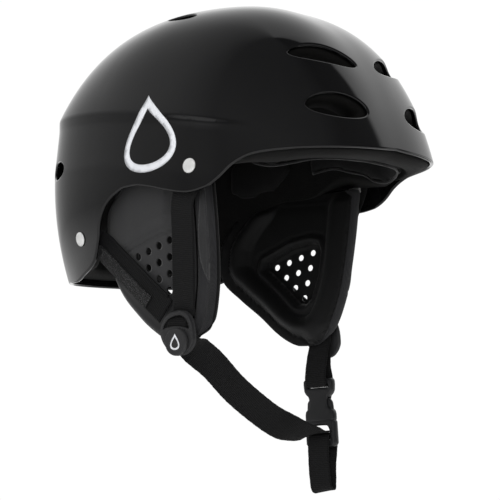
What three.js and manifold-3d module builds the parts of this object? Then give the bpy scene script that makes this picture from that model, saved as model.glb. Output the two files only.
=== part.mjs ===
// Water-sports helmet: hard shell with foam liner and pads, hinged ear flaps, and a webbing harness
// with strap dividers and a side-release buckle. Millimetres, +Z up, -Y to the front, +X to the
// wearer's left. The origin is the centre of the head opening, midway between the ear flaps.
import * as THREE from 'three';
import { mergeVertices } from 'three/addons/utils/BufferGeometryUtils.js';
import Module from 'manifold-3d';

const wasm = await Module();
wasm.setup();

// ---------------------------------------------------------------- driving dimensions
const GAP = 0.35;                 // clearance kept between pieces that touch
const SHELL_WALL = 3.0;
const LINER_WALL = 17.6;
const PAD_WALL = 7.6;

// Dome: a superellipse in plan (front, rear and side half-axes) and another in profile.
const DOME = {
  centreY: -11.6, front: 152.9, rear: 183.0, side: 113.0, planFront: 2.91, planRear: 2.57,
  baseZ: -70.3, topZ: 190.3, riseFront: 2.62, riseSide: 3.06, riseRear: 2.56,
};

// The ledge that rings the helmet, and the band of shell that swells out again below it.
const LEDGE = { z: 103.5, dropFront: 15, dropEnds: 6 };
const BAND = { groove: 8, swell: 32, reach: 3.4, full: 48, taper: 0.0021 };

// Lower edge of the shell: angle from the front in degrees, height. The same on both sides.
const SHELL_RIM = [[0, 77.8], [27, 74.7], [41, 72.6], [48, 70.7], [52, 67.7], [56, 62.7], [59.4, 56.2],
  [62, 52], [65, 48.9], [72.3, 46.4], [82.6, 49.2], [91, 52.5], [98, 54.2], [104.4, 53.4], [110, 49.5],
  [114.7, 44], [118.1, 36.9], [120.5, 29], [122.3, 18.4], [128, 2], [135.7, -5.6], [144, -10.6], [180, -11]];
const LINER_RIM = [[0, 75.8], [30, 70], [48, 61.5], [58, 61.5], [66, 64], [78, 64], [90, 62.5], [110, 62],
  [122, 60], [130, 40], [137, 12], [146, -4], [180, -5]];
const BROW_PAD_EDGE = [[0, 75.6], [20, 73.5], [30, 70.5], [38, 67], [48, 64.5], [53, 66], [58, 71], [65, 73],
  [73, 76], [82, 74], [88, 72]];

// Vents cut through shell and liner: centre angle and height, half length, half width, and the tilt
// of the long axis away from level. One of each on both sides.
const VENTS = [
  { angle: 20.5, z: 143, along: 28, across: 8.4, tilt: 7 },
  { angle: 21.5, z: 104.5, along: 25.5, across: 9.4, tilt: 2 },
  { angle: 106, z: 181.5, along: 17, across: 6, tilt: 10 },
  { angle: 148, z: 73, along: 17, across: 6.5, tilt: 0 },
];
const VENT_DEPTH = 34;

// Ear flap: a flat panel that leans in towards the jaw and towards the rear.
const FLAP = { x: 82.4, perY: -0.0554, perZ: 0.1434, curlFrom: 15, curl: 0.008 };
const FLAP_FRONT = [[-58.5, -21], [-56.5, -28], [-52, -34.5], [-45, -41], [-30, -46.8], [-12, -50.6],
  [15, -52.8], [40, -53.5], [58, -53.5]];
const FLAP_REAR = [[-58.5, -13], [-57, -6], [-48, 11], [-36, 26], [-22, 43], [-8, 56], [4, 60], [18, 60],
  [30, 57], [42, 51], [50, 46], [58, 40]];
const FLAP_PANEL_WALL = 2.4;
const FLAP_CUSHION_WALL = 12;
const FLAP_BOLSTER = 14;          // depth of the padded front edge
const FLAP_HOLE = { radius: 2.3, y: -14.6, z: 14.5, rear: [10.8, -3.5], down: [1.43, -11.77], count: 4 };
const EAR_WINDOW = [[-20.5, 20.5], [26.5, 5], [26, -3.5], [-9, -37], [-16.5, -35]];

const WEB = { width: 20, thick: 1.6 };
const RIVET = { headRadius: 5.3, head: 2.2, shankRadius: 2.3, holeRadius: 2.6, washerRadius: 5.6, washer: 1 };
const LINING_DEPTH = SHELL_WALL + WEB.thick / 2 + 1.8;   // from the shell's face to a strap's middle
const FRONT_RIVET = { angle: 71, z: 63.3 };
const REAR_RIVET = { angle: 132, z: 18.8 };

// Divider: a D-shaped loop at the tip of each flap, closed below by a round locking cap.
const DIVIDER = { x: 84.6, y: -22, z: -36, thick: 4, capRadius: 9.8, capDrop: 21.5, capThick: 3.4 };

// Side-release buckle on the left side, hanging a little forward of plumb.
const BUCKLE = { x: 75, y: -27.6, top: -84.2, tiltDeg: 4, thick: 7.2 };

// ---------------------------------------------------------------- small helpers
const rad = THREE.MathUtils.degToRad;
const clamp = THREE.MathUtils.clamp;
const smooth = (t) => { const k = clamp(t, 0, 1); return k * k * (3 - 2 * k); };
const range = (n) => Array.from({ length: n }, (_, i) => i);

// Smooth curve through points [x, y] that never overshoots them (monotone cubic).
function curveThrough(points) {
  const n = points.length;
  const step = (i, k) => points[i + 1][k] - points[i][k];
  const slope = range(n - 1).map((i) => step(i, 1) / step(i, 0));
  const tangent = range(n).map((i) => {
    if (i === 0) return slope[0];
    if (i === n - 1) return slope[n - 2];
    const a = slope[i - 1];
    const b = slope[i];
    return a * b <= 0 ? 0 : (2 * a * b) / (a + b);
  });
  return (x) => {
    let i = 0;
    while (i < n - 2 && x > points[i + 1][0]) i += 1;
    const h = points[i + 1][0] - points[i][0];
    const t = clamp((x - points[i][0]) / h, 0, 1);
    const a = (1 + 2 * t) * (1 - t) * (1 - t) * points[i][1] + t * t * (3 - 2 * t) * points[i + 1][1];
    return a + h * t * (1 - t) * ((1 - t) * tangent[i] - t * tangent[i + 1]);
  };
}

function toSolid(geometry) {
  const bare = geometry.index ? geometry.toNonIndexed() : geometry.clone();
  for (const name of Object.keys(bare.attributes)) {
    if (name !== 'position') bare.deleteAttribute(name);
  }
  const merged = mergeVertices(bare, 1e-4);
  return new wasm.Manifold(new wasm.Mesh({
    numProp: 3,
    vertProperties: new Float32Array(merged.attributes.position.array),
    triVerts: new Uint32Array(merged.index.array),
  }));
}

function fromSolid(solid) {
  const mesh = solid.getMesh();
  const geometry = new THREE.BufferGeometry();
  const xyz = new Float32Array(mesh.numVert * 3);
  for (let i = 0; i < mesh.numVert; i += 1) {
    for (let k = 0; k < 3; k += 1) {
      xyz[i * 3 + k] = mesh.vertProperties[i * mesh.numProp + k];
    }
  }
  geometry.setAttribute('position', new THREE.BufferAttribute(xyz, 3));
  geometry.setIndex(new THREE.BufferAttribute(new Uint32Array(mesh.triVerts), 1));
  return geometry;
}

function cut(geometry, tools) {
  return fromSolid(tools.reduce((solid, tool) => solid.subtract(toSolid(tool)), toSolid(geometry)));
}

function join(first, second) {
  return fromSolid(toSolid(first).add(toSolid(second)));
}

// The mirror image in X, with its faces turned back to point outwards.
function mirrored(geometry) {
  const copy = geometry.clone();
  copy.scale(-1, 1, 1);
  if (!copy.index) copy.setIndex(range(copy.attributes.position.count));
  const index = Array.from(copy.index.array);
  for (let i = 0; i < index.length; i += 3) [index[i + 1], index[i + 2]] = [index[i + 2], index[i + 1]];
  copy.setIndex(index);
  return copy;
}

// Closed body between two grids of points, outer[row][column] and inner[row][column], with walls
// along their open borders. With wrap the columns close on themselves.
function slab(outer, inner, wrap = false) {
  const rows = outer.length;
  const cols = outer[0].length;
  const points = [...outer.flat(), ...inner.flat()];
  const at = (side, r, c) => side * rows * cols + r * cols + (c % cols);
  const triangles = [];
  const quad = (a, b, c, d) => triangles.push(a, b, c, a, c, d);
  const spans = wrap ? cols : cols - 1;
  for (let r = 0; r < rows - 1; r += 1) {
    for (let c = 0; c < spans; c += 1) {
      quad(at(0, r, c), at(0, r, c + 1), at(0, r + 1, c + 1), at(0, r + 1, c));
      quad(at(1, r, c), at(1, r + 1, c), at(1, r + 1, c + 1), at(1, r, c + 1));
    }
  }
  for (let c = 0; c < spans; c += 1) {
    quad(at(1, 0, c), at(1, 0, c + 1), at(0, 0, c + 1), at(0, 0, c));
    quad(at(0, rows - 1, c), at(0, rows - 1, c + 1), at(1, rows - 1, c + 1), at(1, rows - 1, c));
  }
  if (!wrap) {
    for (let r = 0; r < rows - 1; r += 1) {
      quad(at(0, r, 0), at(0, r + 1, 0), at(1, r + 1, 0), at(1, r, 0));
      quad(at(1, r, cols - 1), at(1, r + 1, cols - 1), at(0, r + 1, cols - 1), at(0, r, cols - 1));
    }
  }
  const geometry = new THREE.BufferGeometry();
  geometry.setAttribute('position', new THREE.Float32BufferAttribute(points.flatMap((p) => p.toArray()), 3));
  geometry.setIndex(triangles);
  return outwards(dropSlivers(geometry));
}

// Merges points that coincide, as at a pole, and drops the triangles that vanish there.
function dropSlivers(geometry) {
  const merged = mergeVertices(geometry, 1e-3);
  const index = merged.index.array;
  const kept = [];
  for (let i = 0; i < index.length; i += 3) {
    const [a, b, c] = [index[i], index[i + 1], index[i + 2]];
    if (a !== b && b !== c && c !== a) kept.push(a, b, c);
  }
  merged.setIndex(kept);
  return merged;
}

// Turns every face round when the body's signed volume is negative.
function outwards(geometry) {
  const p = geometry.attributes.position;
  const index = Array.from(geometry.index.array);
  const [a, b, c] = [new THREE.Vector3(), new THREE.Vector3(), new THREE.Vector3()];
  let volume = 0;
  for (let i = 0; i < index.length; i += 3) {
    a.fromBufferAttribute(p, index[i]);
    b.fromBufferAttribute(p, index[i + 1]);
    c.fromBufferAttribute(p, index[i + 2]);
    volume += a.dot(b.cross(c));
  }
  if (volume < 0) {
    for (let i = 0; i < index.length; i += 3) [index[i + 1], index[i + 2]] = [index[i + 2], index[i + 1]];
    geometry.setIndex(index);
  }
  return geometry;
}

// A library geometry with its shared corners merged, so that it is one closed surface.
function clean(geometry) {
  const copy = geometry.clone();
  copy.deleteAttribute('normal');
  copy.deleteAttribute('uv');
  return outwards(dropSlivers(copy));
}

// Flat webbing: a strap of constant width that follows a curve through its stations. Each station
// has a place [x, y, z] and the direction of the strap's width.
function webbing(stations, steps = 16, width = WEB.width) {
  const curve = (points) => new THREE.CatmullRomCurve3(points, false, 'centripetal');
  const path = curve(stations.map((s) => new THREE.Vector3(...s.at)));
  const across = curve(stations.map((s) => new THREE.Vector3(...s.across)));
  const face = (side) => range(steps + 1).map((i) => {
    const t = i / steps;
    const centre = path.getPoint(t);
    const along = path.getTangent(t);
    const w = across.getPoint(t).addScaledVector(along, -across.getPoint(t).dot(along)).normalize();
    const normal = new THREE.Vector3().crossVectors(along, w).normalize();
    return [-0.5, 0.5].map((k) => centre.clone().addScaledVector(w, k * width)
      .addScaledVector(normal, side * WEB.thick * 0.5));
  });
  return slab(face(1), face(-1));
}

// ---------------------------------------------------------------- the dome surface
function planRadius(angle) {
  const c = Math.cos(angle);
  const power = DOME.planRear + (DOME.planFront - DOME.planRear) * clamp(0.5 + 0.9 * c, 0, 1);
  const axis = c > 0 ? DOME.front : DOME.rear;
  return (Math.abs(Math.sin(angle) / DOME.side) ** power + Math.abs(c / axis) ** power) ** (-1 / power);
}

function domeRadius(angle, z) {
  const c = Math.cos(angle);
  const rise = DOME.riseSide + (DOME.riseFront - DOME.riseSide) * Math.max(c, 0) ** 2
    + (DOME.riseRear - DOME.riseSide) * Math.max(-c, 0) ** 2;
  const u = clamp((z - DOME.baseZ) / (DOME.topZ - DOME.baseZ), 0, 1);
  return planRadius(angle) * (1 - u ** rise) ** (1 / rise);
}

const ledgeZ = (angle) => LEDGE.z - LEDGE.dropFront * Math.cos(angle) - LEDGE.dropEnds * Math.cos(angle) ** 2;
// 1 at the front, where the dome runs on down as the visor, and 0 round the sides and rear.
const visorShare = (angle) => smooth((Math.cos(angle) - 0.3) / 0.5);

function bandReach(drop) {
  if (drop > BAND.full) return BAND.reach - BAND.taper * (drop - BAND.full) ** 2;
  return BAND.reach * clamp((drop - BAND.groove) / BAND.swell, 0, 1);
}

function shellRadius(angle, z, withBand) {
  const zl = ledgeZ(angle);
  if (z >= zl) return domeRadius(angle, z);
  const top = domeRadius(angle, zl);
  const visor = visorShare(angle);
  const reach = withBand ? bandReach(zl - z) : Math.min(bandReach(zl - z), 0);
  return top + visor * (domeRadius(angle, z) - top) + (1 - visor) * reach;
}

// A point on the dome, moved inwards by a depth square to the surface.
function domePoint(angle, z, depth = 0, withBand = true) {
  const step = 1e-3;
  const r = shellRadius(angle, z, withBand);
  const [before, after] = [-step, step].map((k) => shellRadius(angle + k, z, withBand));
  const turn = (after - before) / (2 * step * r);
  const rise = (shellRadius(angle, z, withBand) - shellRadius(angle, z - 0.05, withBand)) / 0.05;
  const radial = new THREE.Vector3(Math.sin(angle), -Math.cos(angle), 0);
  const around = new THREE.Vector3(Math.cos(angle), Math.sin(angle), 0);
  const normal = radial.clone().addScaledVector(around, -turn);
  normal.add(new THREE.Vector3(0, 0, -rise)).normalize();
  return new THREE.Vector3(0, DOME.centreY, z).addScaledVector(radial, r).addScaledVector(normal, -depth);
}

// Rows of points from the rim to the top of the dome, at the given angles. Rows lie closer together
// below the ledge, and one row runs along it.
function domeRows(angles, rim, depth, below, above, withBand) {
  const rows = [];
  const ledgeStart = (a) => Math.max(ledgeZ(a), rim(a) + 1);
  for (let i = 0; i < below; i += 1) {
    rows.push(angles.map((a) => {
      const z = THREE.MathUtils.lerp(rim(a), ledgeStart(a), i / below);
      return domePoint(a, z, depth, withBand);
    }));
  }
  const span = DOME.topZ - DOME.baseZ;
  for (let i = 0; i < above; i += 1) {
    rows.push(angles.map((a) => {
      const start = Math.asin(((ledgeStart(a) - DOME.baseZ) / span) ** 1.4);
      const swing = THREE.MathUtils.lerp(start, Math.PI / 2, i / above);
      return domePoint(a, DOME.baseZ + span * Math.sin(swing) ** (1 / 1.4), depth, withBand);
    }));
  }
  rows.push(angles.map(() => new THREE.Vector3(0, DOME.centreY, DOME.topZ - depth)));
  return rows;
}

// Angles for the columns: evenly spaced along the curve of a rim, so that its steep parts are covered.
function rimAngles(rim, count) {
  const fine = 720;
  const lengths = [0];
  for (let i = 1; i <= fine; i += 1) {
    const [a, b] = [(i - 1) / fine, i / fine].map((t) => {
      const angle = (t * 2 - 1) * Math.PI;
      return new THREE.Vector3(angle * 105, rim(angle) * 0.6, 0);
    });
    lengths.push(lengths[i - 1] + a.distanceTo(b));
  }
  return range(count).map((k) => {
    const target = (lengths[fine] * k) / count;
    const i = lengths.findIndex((v) => v > target);
    const t = (i - 1 + (target - lengths[i - 1]) / (lengths[i] - lengths[i - 1])) / fine;
    return (t * 2 - 1) * Math.PI;
  });
}

const byAngle = (points) => {
  const curve = curveThrough(points);
  return (angle) => curve(Math.abs(THREE.MathUtils.radToDeg(angle)));
};
const shellRim = byAngle(SHELL_RIM);
const linerRim = byAngle(LINER_RIM);
const browEdge = byAngle(BROW_PAD_EDGE);

// Frame on the dome at an angle and height: place, outward normal and the level direction.
function domeFrame(angle, z) {
  const at = domePoint(angle, z);
  const normal = at.clone().sub(domePoint(angle, z, 1)).normalize();
  const level = new THREE.Vector3(-normal.y, normal.x, 0).normalize();
  return { at, normal, level, up: new THREE.Vector3().crossVectors(normal, level) };
}

// Elliptical cutter square to the dome for one vent, on the side given by the sign.
function ventCutter(vent, side) {
  const { at, normal, level, up } = domeFrame(side * rad(vent.angle), vent.z);
  const outline = new THREE.Shape();
  outline.absellipse(0, 0, vent.along, vent.across, 0, Math.PI * 2, false, side * rad(vent.tilt));
  const options = { depth: VENT_DEPTH + 12, bevelEnabled: false, curveSegments: 11 };
  const geometry = new THREE.ExtrudeGeometry(outline, options);
  const base = at.clone().addScaledVector(normal, -VENT_DEPTH);
  return geometry.applyMatrix4(new THREE.Matrix4().makeBasis(level, up, normal).setPosition(base));
}

// A cylinder along the dome's normal, from a depth below the surface to a height above it.
function domeCylinder({ angle, z }, side, radius, from, to, segments = 14) {
  const { at, normal, level, up } = domeFrame(side * rad(angle), z);
  const geometry = new THREE.CylinderGeometry(radius, radius, to - from, segments);
  geometry.rotateX(Math.PI / 2).translate(0, 0, (from + to) / 2);
  return geometry.applyMatrix4(new THREE.Matrix4().makeBasis(level, up, normal).setPosition(at));
}

const SIDES = [['right', -1], ['left', 1]];

// ---------------------------------------------------------------- shell, liner and pads
function shellGeometry() {
  const angles = rimAngles(shellRim, 54);
  const body = slab(domeRows(angles, shellRim, 0, 4, 11, true),
    domeRows(angles, shellRim, SHELL_WALL, 4, 11, true), true);
  const cutters = SIDES.flatMap(([, side]) => [
    ...VENTS.map((v) => ventCutter(v, side)),
    domeCylinder(FRONT_RIVET, side, RIVET.holeRadius, -10, 10, 10),
    domeCylinder(REAR_RIVET, side, RIVET.holeRadius, -10, 10, 10),
  ]);
  return cut(body, cutters);
}

function linerGeometry() {
  const angles = rimAngles(linerRim, 40);
  const outerRim = (a) => Math.max(shellRim(a) + 2.5, linerRim(a));
  const outer = SHELL_WALL + GAP + 0.6;
  const body = slab(domeRows(angles, outerRim, outer, 4, 8, false),
    domeRows(angles, linerRim, outer + LINER_WALL, 4, 8, false), true);
  const pockets = SIDES.flatMap(([, side]) => [
    strapPocket(FRONT_RIVET, side, 17, 40),
    strapPocket(REAR_RIVET, side, 24, 24),
  ]);
  const vents = SIDES.flatMap(([, side]) => VENTS.map((v) => ventCutter(v, side)));
  return cut(body, [...pockets, ...vents]);
}

// Room in the liner's outer face for a strap's end and its rivet.
function strapPocket(rivet, side, halfWidth, halfHeight) {
  const { at, normal, level, up } = domeFrame(side * rad(rivet.angle), rivet.z);
  const geometry = new THREE.BoxGeometry(halfWidth * 2, halfHeight * 2, 18);
  return geometry.applyMatrix4(new THREE.Matrix4().makeBasis(level, up, normal)
    .setPosition(at.clone().addScaledVector(normal, -1)));
}

// A pad on the liner between two angles, with its lower and upper edges as functions of the angle.
function padGeometry(fromDeg, toDeg, low, high, columns, rowCount) {
  const depth = SHELL_WALL + LINER_WALL + 2 * GAP + 2;
  const face = (extra) => range(rowCount + 1).map((r) => range(columns + 1).map((c) => {
    const angle = rad(THREE.MathUtils.lerp(fromDeg, toDeg, c / columns));
    const z = THREE.MathUtils.lerp(low(angle), high(angle), r / rowCount);
    return domePoint(angle, z, depth + extra, false);
  }));
  return slab(face(0), face(PAD_WALL));
}

// Half-height of a leaf-shaped pad: round at both ends.
const leaf = (angle, fromDeg, toDeg, half) => {
  const t = (THREE.MathUtils.radToDeg(Math.abs(angle)) - fromDeg) / (toDeg - fromDeg);
  return half * Math.sqrt(Math.max(1 - (2 * t - 1) ** 4, 0.02));
};
const sidePadLow = (a) => 76 - leaf(a, 98, 128, 15) - 0.5 * (THREE.MathUtils.radToDeg(Math.abs(a)) - 113);
const sidePadHigh = (a) => 76 + leaf(a, 98, 128, 20);
const rearPadLow = (a) => 46 - leaf(a, 136, 224, 38);
const rearPadHigh = (a) => 62 + leaf(a, 136, 224, 34);

function crownPadGeometry() {
  const geometry = new THREE.CylinderGeometry(38, 42, 8, 28);
  return geometry.rotateX(Math.PI / 2).translate(0, DOME.centreY, 160);
}

// ---------------------------------------------------------------- ear flaps, drawn on the left side
const flapFront = curveThrough(FLAP_FRONT);
const flapRear = curveThrough(FLAP_REAR);

function flapPoint(y, z, depth) {
  const curl = FLAP.curl * Math.max(y - FLAP.curlFrom, 0) ** 2;
  return new THREE.Vector3(FLAP.x + FLAP.perY * y + FLAP.perZ * z - curl - depth, y, z);
}

// Part of the flap between two lines across it, each a function of z, with a depth at each point.
function flapPiece(front, rear, outerDepth, innerDepth, rowCount, columns) {
  const [low, high] = [FLAP_FRONT[0][0], FLAP_FRONT[FLAP_FRONT.length - 1][0]];
  const face = (depth) => range(rowCount + 1).map((r) => {
    const z = low + (high - low) * (r / rowCount) ** 1.15;
    return range(columns + 1).map((c) => {
      const y = THREE.MathUtils.lerp(front(z), rear(z), c / columns);
      return flapPoint(y, z, typeof depth === 'function' ? depth(y, z) : depth);
    });
  });
  return slab(face(outerDepth), face(innerDepth));
}

const bolsterLine = (z) => Math.min(flapFront(z) + FLAP_BOLSTER, (flapFront(z) + flapRear(z)) / 2);

function flapHoles() {
  const holes = [];
  for (let i = 0; i < FLAP_HOLE.count; i += 1) {
    for (let j = 0; j < FLAP_HOLE.count - i; j += 1) {
      const y = FLAP_HOLE.y + i * FLAP_HOLE.rear[0] + j * FLAP_HOLE.down[0];
      const z = FLAP_HOLE.z + i * FLAP_HOLE.rear[1] + j * FLAP_HOLE.down[1];
      const hole = new THREE.CylinderGeometry(FLAP_HOLE.radius, FLAP_HOLE.radius, 30, 8);
      holes.push(hole.rotateZ(Math.PI / 2).translate(FLAP.x, y, z));
    }
  }
  return holes;
}

// Prism along X through a rounded outline of [y, z] corners.
function prismX(corners, x0, x1) {
  const shape = new THREE.Shape(corners.map(([y, z]) => new THREE.Vector2(y, z)));
  const geometry = new THREE.ExtrudeGeometry(shape, { depth: x1 - x0, bevelEnabled: false });
  const yzToX = new THREE.Matrix4().makeBasis(new THREE.Vector3(0, 1, 0), new THREE.Vector3(0, 0, 1),
    new THREE.Vector3(1, 0, 0));
  return geometry.applyMatrix4(yzToX).translate(x0, 0, 0);
}

function flapPanelGeometry() {
  const half = FLAP_PANEL_WALL / 2;
  const panel = flapPiece((z) => bolsterLine(z) + GAP, flapRear, -half, half, 13, 7);
  return cut(panel, flapHoles());
}

// The cushion swells to its full depth near its border and again round the ear window.
function flapCushionGeometry() {
  const back = FLAP_PANEL_WALL / 2 + GAP;
  const inner = (y, z) => {
    const inset = Math.min(y - flapFront(z), (flapRear(z) - y) * 0.75, (z - FLAP_FRONT[0][0]) * 0.9);
    const roll = Math.sin(Math.PI * clamp(inset / 24, 0.08, 0.92));
    return back + 4.5 + (FLAP_CUSHION_WALL - 4.5) * roll * roll;
  };
  const cushion = flapPiece((z) => bolsterLine(z) + GAP, flapRear, back, inner, 13, 7);
  return cut(cushion, [prismX(EAR_WINDOW, 50, 100)]);
}

// Padded front edge: a rounded roll as deep as panel and cushion together.
function flapBolsterGeometry() {
  const [out, deep] = [FLAP_PANEL_WALL / 2 + 0.4, FLAP_PANEL_WALL / 2 + FLAP_CUSHION_WALL];
  const round = (y, z) => {
    const t = clamp((y - flapFront(z)) / (bolsterLine(z) - flapFront(z)), 0, 1);
    return Math.sqrt(1 - (1 - t) ** 2 * 0.75);
  };
  const middle = (deep - out) / 2;
  const half = (deep + out) / 2;
  return flapPiece(flapFront, bolsterLine, (y, z) => middle - half * round(y, z),
    (y, z) => middle + half * round(y, z), 13, 3);
}

// ---------------------------------------------------------------- rivets
function rivetGeometry(rivet, side) {
  const { at, normal, level, up } = domeFrame(side * rad(rivet.angle), rivet.z);
  const seat = GAP;
  const tail = -(LINING_DEPTH + WEB.thick / 2 + 1 + RIVET.washer + 0.8);
  const profile = [new THREE.Vector2(0, tail), new THREE.Vector2(RIVET.shankRadius, tail),
    new THREE.Vector2(RIVET.shankRadius, seat), new THREE.Vector2(RIVET.headRadius, seat)];
  for (const t of range(4)) {
    const swing = (t / 3) * Math.PI / 2;
    const height = seat + 0.5 + RIVET.head * Math.sin(swing);
    profile.push(new THREE.Vector2(RIVET.headRadius * Math.cos(swing), height));
  }
  profile[profile.length - 1].x = 0;
  const geometry = new THREE.LatheGeometry(profile, 12);
  geometry.rotateX(Math.PI / 2);
  return clean(geometry.applyMatrix4(new THREE.Matrix4().makeBasis(level, up, normal).setPosition(at)));
}

function washerGeometry(rivet, side) {
  const top = -(LINING_DEPTH + WEB.thick / 2 + 1);
  const disc = domeCylinder(rivet, side, RIVET.washerRadius, top - RIVET.washer, top);
  return cut(disc, [domeCylinder(rivet, side, RIVET.shankRadius + 0.3, top - 5, top + 5)]);
}

// ---------------------------------------------------------------- harness webbing, drawn on the left side
// A station of a strap that lies against the inside of the shell. Its width is level when the turn
// is 0, and upright at 90 degrees.
function lining(angleDeg, z, turnDeg) {
  const { level, up } = domeFrame(rad(angleDeg), z);
  const across = level.multiplyScalar(Math.cos(rad(turnDeg))).addScaledVector(up, Math.sin(rad(turnDeg)));
  return { at: domePoint(rad(angleDeg), z, LINING_DEPTH).toArray(), across: across.toArray() };
}

function frontStrapGeometry() {
  const strap = webbing([
    lining(69.5, 73, 0), lining(71, 63.3, 0), lining(73.5, 53, 0),
    { at: [98.6, -36.5, 40], across: [0, 1, 0] },
    { at: [94.6, -33.5, 18], across: [0, 1, 0] },
    { at: [90.2, -30.5, -10], across: [0, 1, 0] },
    { at: [85.8, -27.2, -28], across: [0, 1, 0.1] },
    { at: [83.4, -25.6, -38], across: [0, 1, 0.15] },
  ], 16);
  return cut(strap, [domeCylinder(FRONT_RIVET, 1, RIVET.holeRadius, -12, 4, 10)]);
}

function rearStrapGeometry() {
  const slant = [0, -0.62, 0.78];
  const strap = webbing([
    lining(136, 20, 92), lining(132, 18.8, 96), lining(128, 16.5, 104),
    { at: [84.2, 50, 12], across: [0, -0.42, 0.9] },
    { at: [85.4, 42, 6.5], across: slant },
    { at: [86.2, 29, -3.5], across: slant },
    { at: [86.3, 8, -20.5], across: slant },
    { at: [84.4, -9.5, -35.2], across: slant },
  ], 18);
  return cut(strap, [domeCylinder(REAR_RIVET, 1, RIVET.holeRadius, -12, 4, 10)]);
}

// Chin strap: from behind the right divider, down and across under the chin, to the buckle's loop.
function chinStrapGeometry() {
  const loop = bucklePoint(0, -41.8);
  return webbing([
    { at: [-82.0, -24.2, -52], across: [0, -1, 0] },
    { at: [-80.6, -24.6, -58], across: [0.2, -1, 0.1] },
    { at: [-69, -24.8, -67], across: [0.8, -0.35, 0.5] },
    { at: [-52.5, -25.5, -77], across: [0.84, 0, 0.54] },
    { at: [-29, -26.5, -94], across: [0.80, 0.06, 0.60] },
    { at: [-4.5, -27.6, -107.7], across: [0.72, 0.06, 0.69] },
    { at: [19, -28.6, -118], across: [0.55, 0.02, 0.83] },
    { at: [42, -29.7, -123.5], across: [0.3, -0.4, 0.85] },
    { at: [loop.x - 16, loop.y + 0.4, loop.z + 0.2], across: [0.1, -0.85, 0.4] },
    { at: [loop.x - 6, loop.y, loop.z - 0.1], across: [0, -1, 0.07] },
    { at: [loop.x + 2.5, loop.y, loop.z], across: [0, -1, 0.07] },
  ], 30, WEB.width - 0.6);
}

// ---------------------------------------------------------------- strap divider
function dividerGeometry() {
  const { x, y, z, thick } = DIVIDER;
  const outline = new THREE.Shape();
  outline.moveTo(y - 17, z - 20);
  outline.quadraticCurveTo(y - 16.5, z + 1, y - 4, z + 1.2);
  outline.quadraticCurveTo(y + 12, z + 1, y + 15, z - 14);
  outline.quadraticCurveTo(y + 13, z - 27, y - 2, z - 32);
  outline.quadraticCurveTo(y - 15, z - 31, y - 17, z - 20);
  const window = new THREE.Path();
  window.moveTo(y - 12.6, z - 12.5);
  window.quadraticCurveTo(y - 1, z - 8.5, y + 11, z - 12.5);
  window.quadraticCurveTo(y + 8, z - 3.4, y - 3.5, z - 3);
  window.quadraticCurveTo(y - 11, z - 3.2, y - 12.6, z - 12.5);
  outline.holes.push(window);
  const plate = new THREE.ExtrudeGeometry(outline, { depth: thick, bevelEnabled: false, curveSegments: 7 });
  const yzToX = new THREE.Matrix4().makeBasis(new THREE.Vector3(0, 1, 0), new THREE.Vector3(0, 0, 1),
    new THREE.Vector3(1, 0, 0));
  return clean(plate.applyMatrix4(yzToX).translate(x - thick / 2 + 2.6, 0, 0));
}

const capCentre = () => new THREE.Vector3(DIVIDER.x + 2.6 + DIVIDER.thick / 2 + GAP,
  DIVIDER.y - 3, DIVIDER.z - DIVIDER.capDrop);

function capGeometry() {
  const at = capCentre();
  const cap = new THREE.CylinderGeometry(DIVIDER.capRadius - 0.8, DIVIDER.capRadius, DIVIDER.capThick, 24);
  return cap.rotateZ(-Math.PI / 2).translate(at.x + DIVIDER.capThick / 2, at.y, at.z);
}

// ---------------------------------------------------------------- side-release buckle
// Drawn flat: u to the front, v up from the top edge, depth along X. Then tilted and hung in place.
function buckleMatrix() {
  const tilt = rad(BUCKLE.tiltDeg);
  const u = new THREE.Vector3(0, -Math.cos(tilt), Math.sin(tilt));
  const v = new THREE.Vector3(0, Math.sin(tilt), Math.cos(tilt));
  const w = new THREE.Vector3().crossVectors(u, v);
  return new THREE.Matrix4().makeBasis(u, v, w).setPosition(BUCKLE.x, BUCKLE.y, BUCKLE.top);
}

function bucklePlate(outline, holes, thick, offset = 0) {
  const shape = new THREE.Shape(outline.map(([u, v]) => new THREE.Vector2(u, v)));
  for (const hole of holes) {
    shape.holes.push(new THREE.Path(hole.map(([u, v]) => new THREE.Vector2(u, v))));
  }
  const geometry = new THREE.ExtrudeGeometry(shape, { depth: thick, bevelEnabled: false });
  return geometry.translate(0, 0, offset - thick / 2);
}

const both = (points) => [...points, ...points.slice().reverse().map(([u, v]) => [-u, v])];
const rectangle = (u0, u1, v0, v1) => [[u0, v0], [u1, v0], [u1, v1], [u0, v1]];

function buckleFemaleGeometry() {
  const outline = both([[12.2, 0], [12.6, -1], [12.2, -8.6], [8.2, -12.4], [7.8, -15], [7.8, -21],
    [11.6, -24.5], [12.4, -27], [12.4, -37]]);
  const slot = rectangle(-10.8, 10.8, -8.0, -3.2);
  const body = bucklePlate(outline, [slot], BUCKLE.thick);
  const bore = bucklePlate(rectangle(-10.7, 10.7, -60, -13.5), [], BUCKLE.thick - 2.4);
  return cut(body, [bore]).applyMatrix4(buckleMatrix());
}

function buckleMaleGeometry() {
  const depth = BUCKLE.thick - 2.4 - 1.0;
  const frame = bucklePlate(both([[12.0, -37.4], [12.6, -39], [12.6, -48.6], [11.2, -50.4]]),
    [rectangle(-10.7, 10.7, -47.0, -40.2)], BUCKLE.thick);
  const tongue = bucklePlate(rectangle(-2.4, 2.4, -38.5, -16), [], depth);
  return join(frame, tongue).applyMatrix4(buckleMatrix());
}

// Springy arm of the male half: thin at its root, with a thick head that shows in the side window.
function prongGeometry(side) {
  const outline = [[6.6, -37.0], [9.4, -37.0], [9.9, -31], [10.2, -27], [10.3, -22], [9.4, -17], [7.6, -15.2],
    [6.4, -16.5], [6.6, -22], [7.6, -27]];
  const plate = bucklePlate(side > 0 ? outline : outline.map(([u, v]) => [-u, v]).reverse(), [],
    BUCKLE.thick - 3.4);
  return plate.applyMatrix4(buckleMatrix());
}

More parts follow.
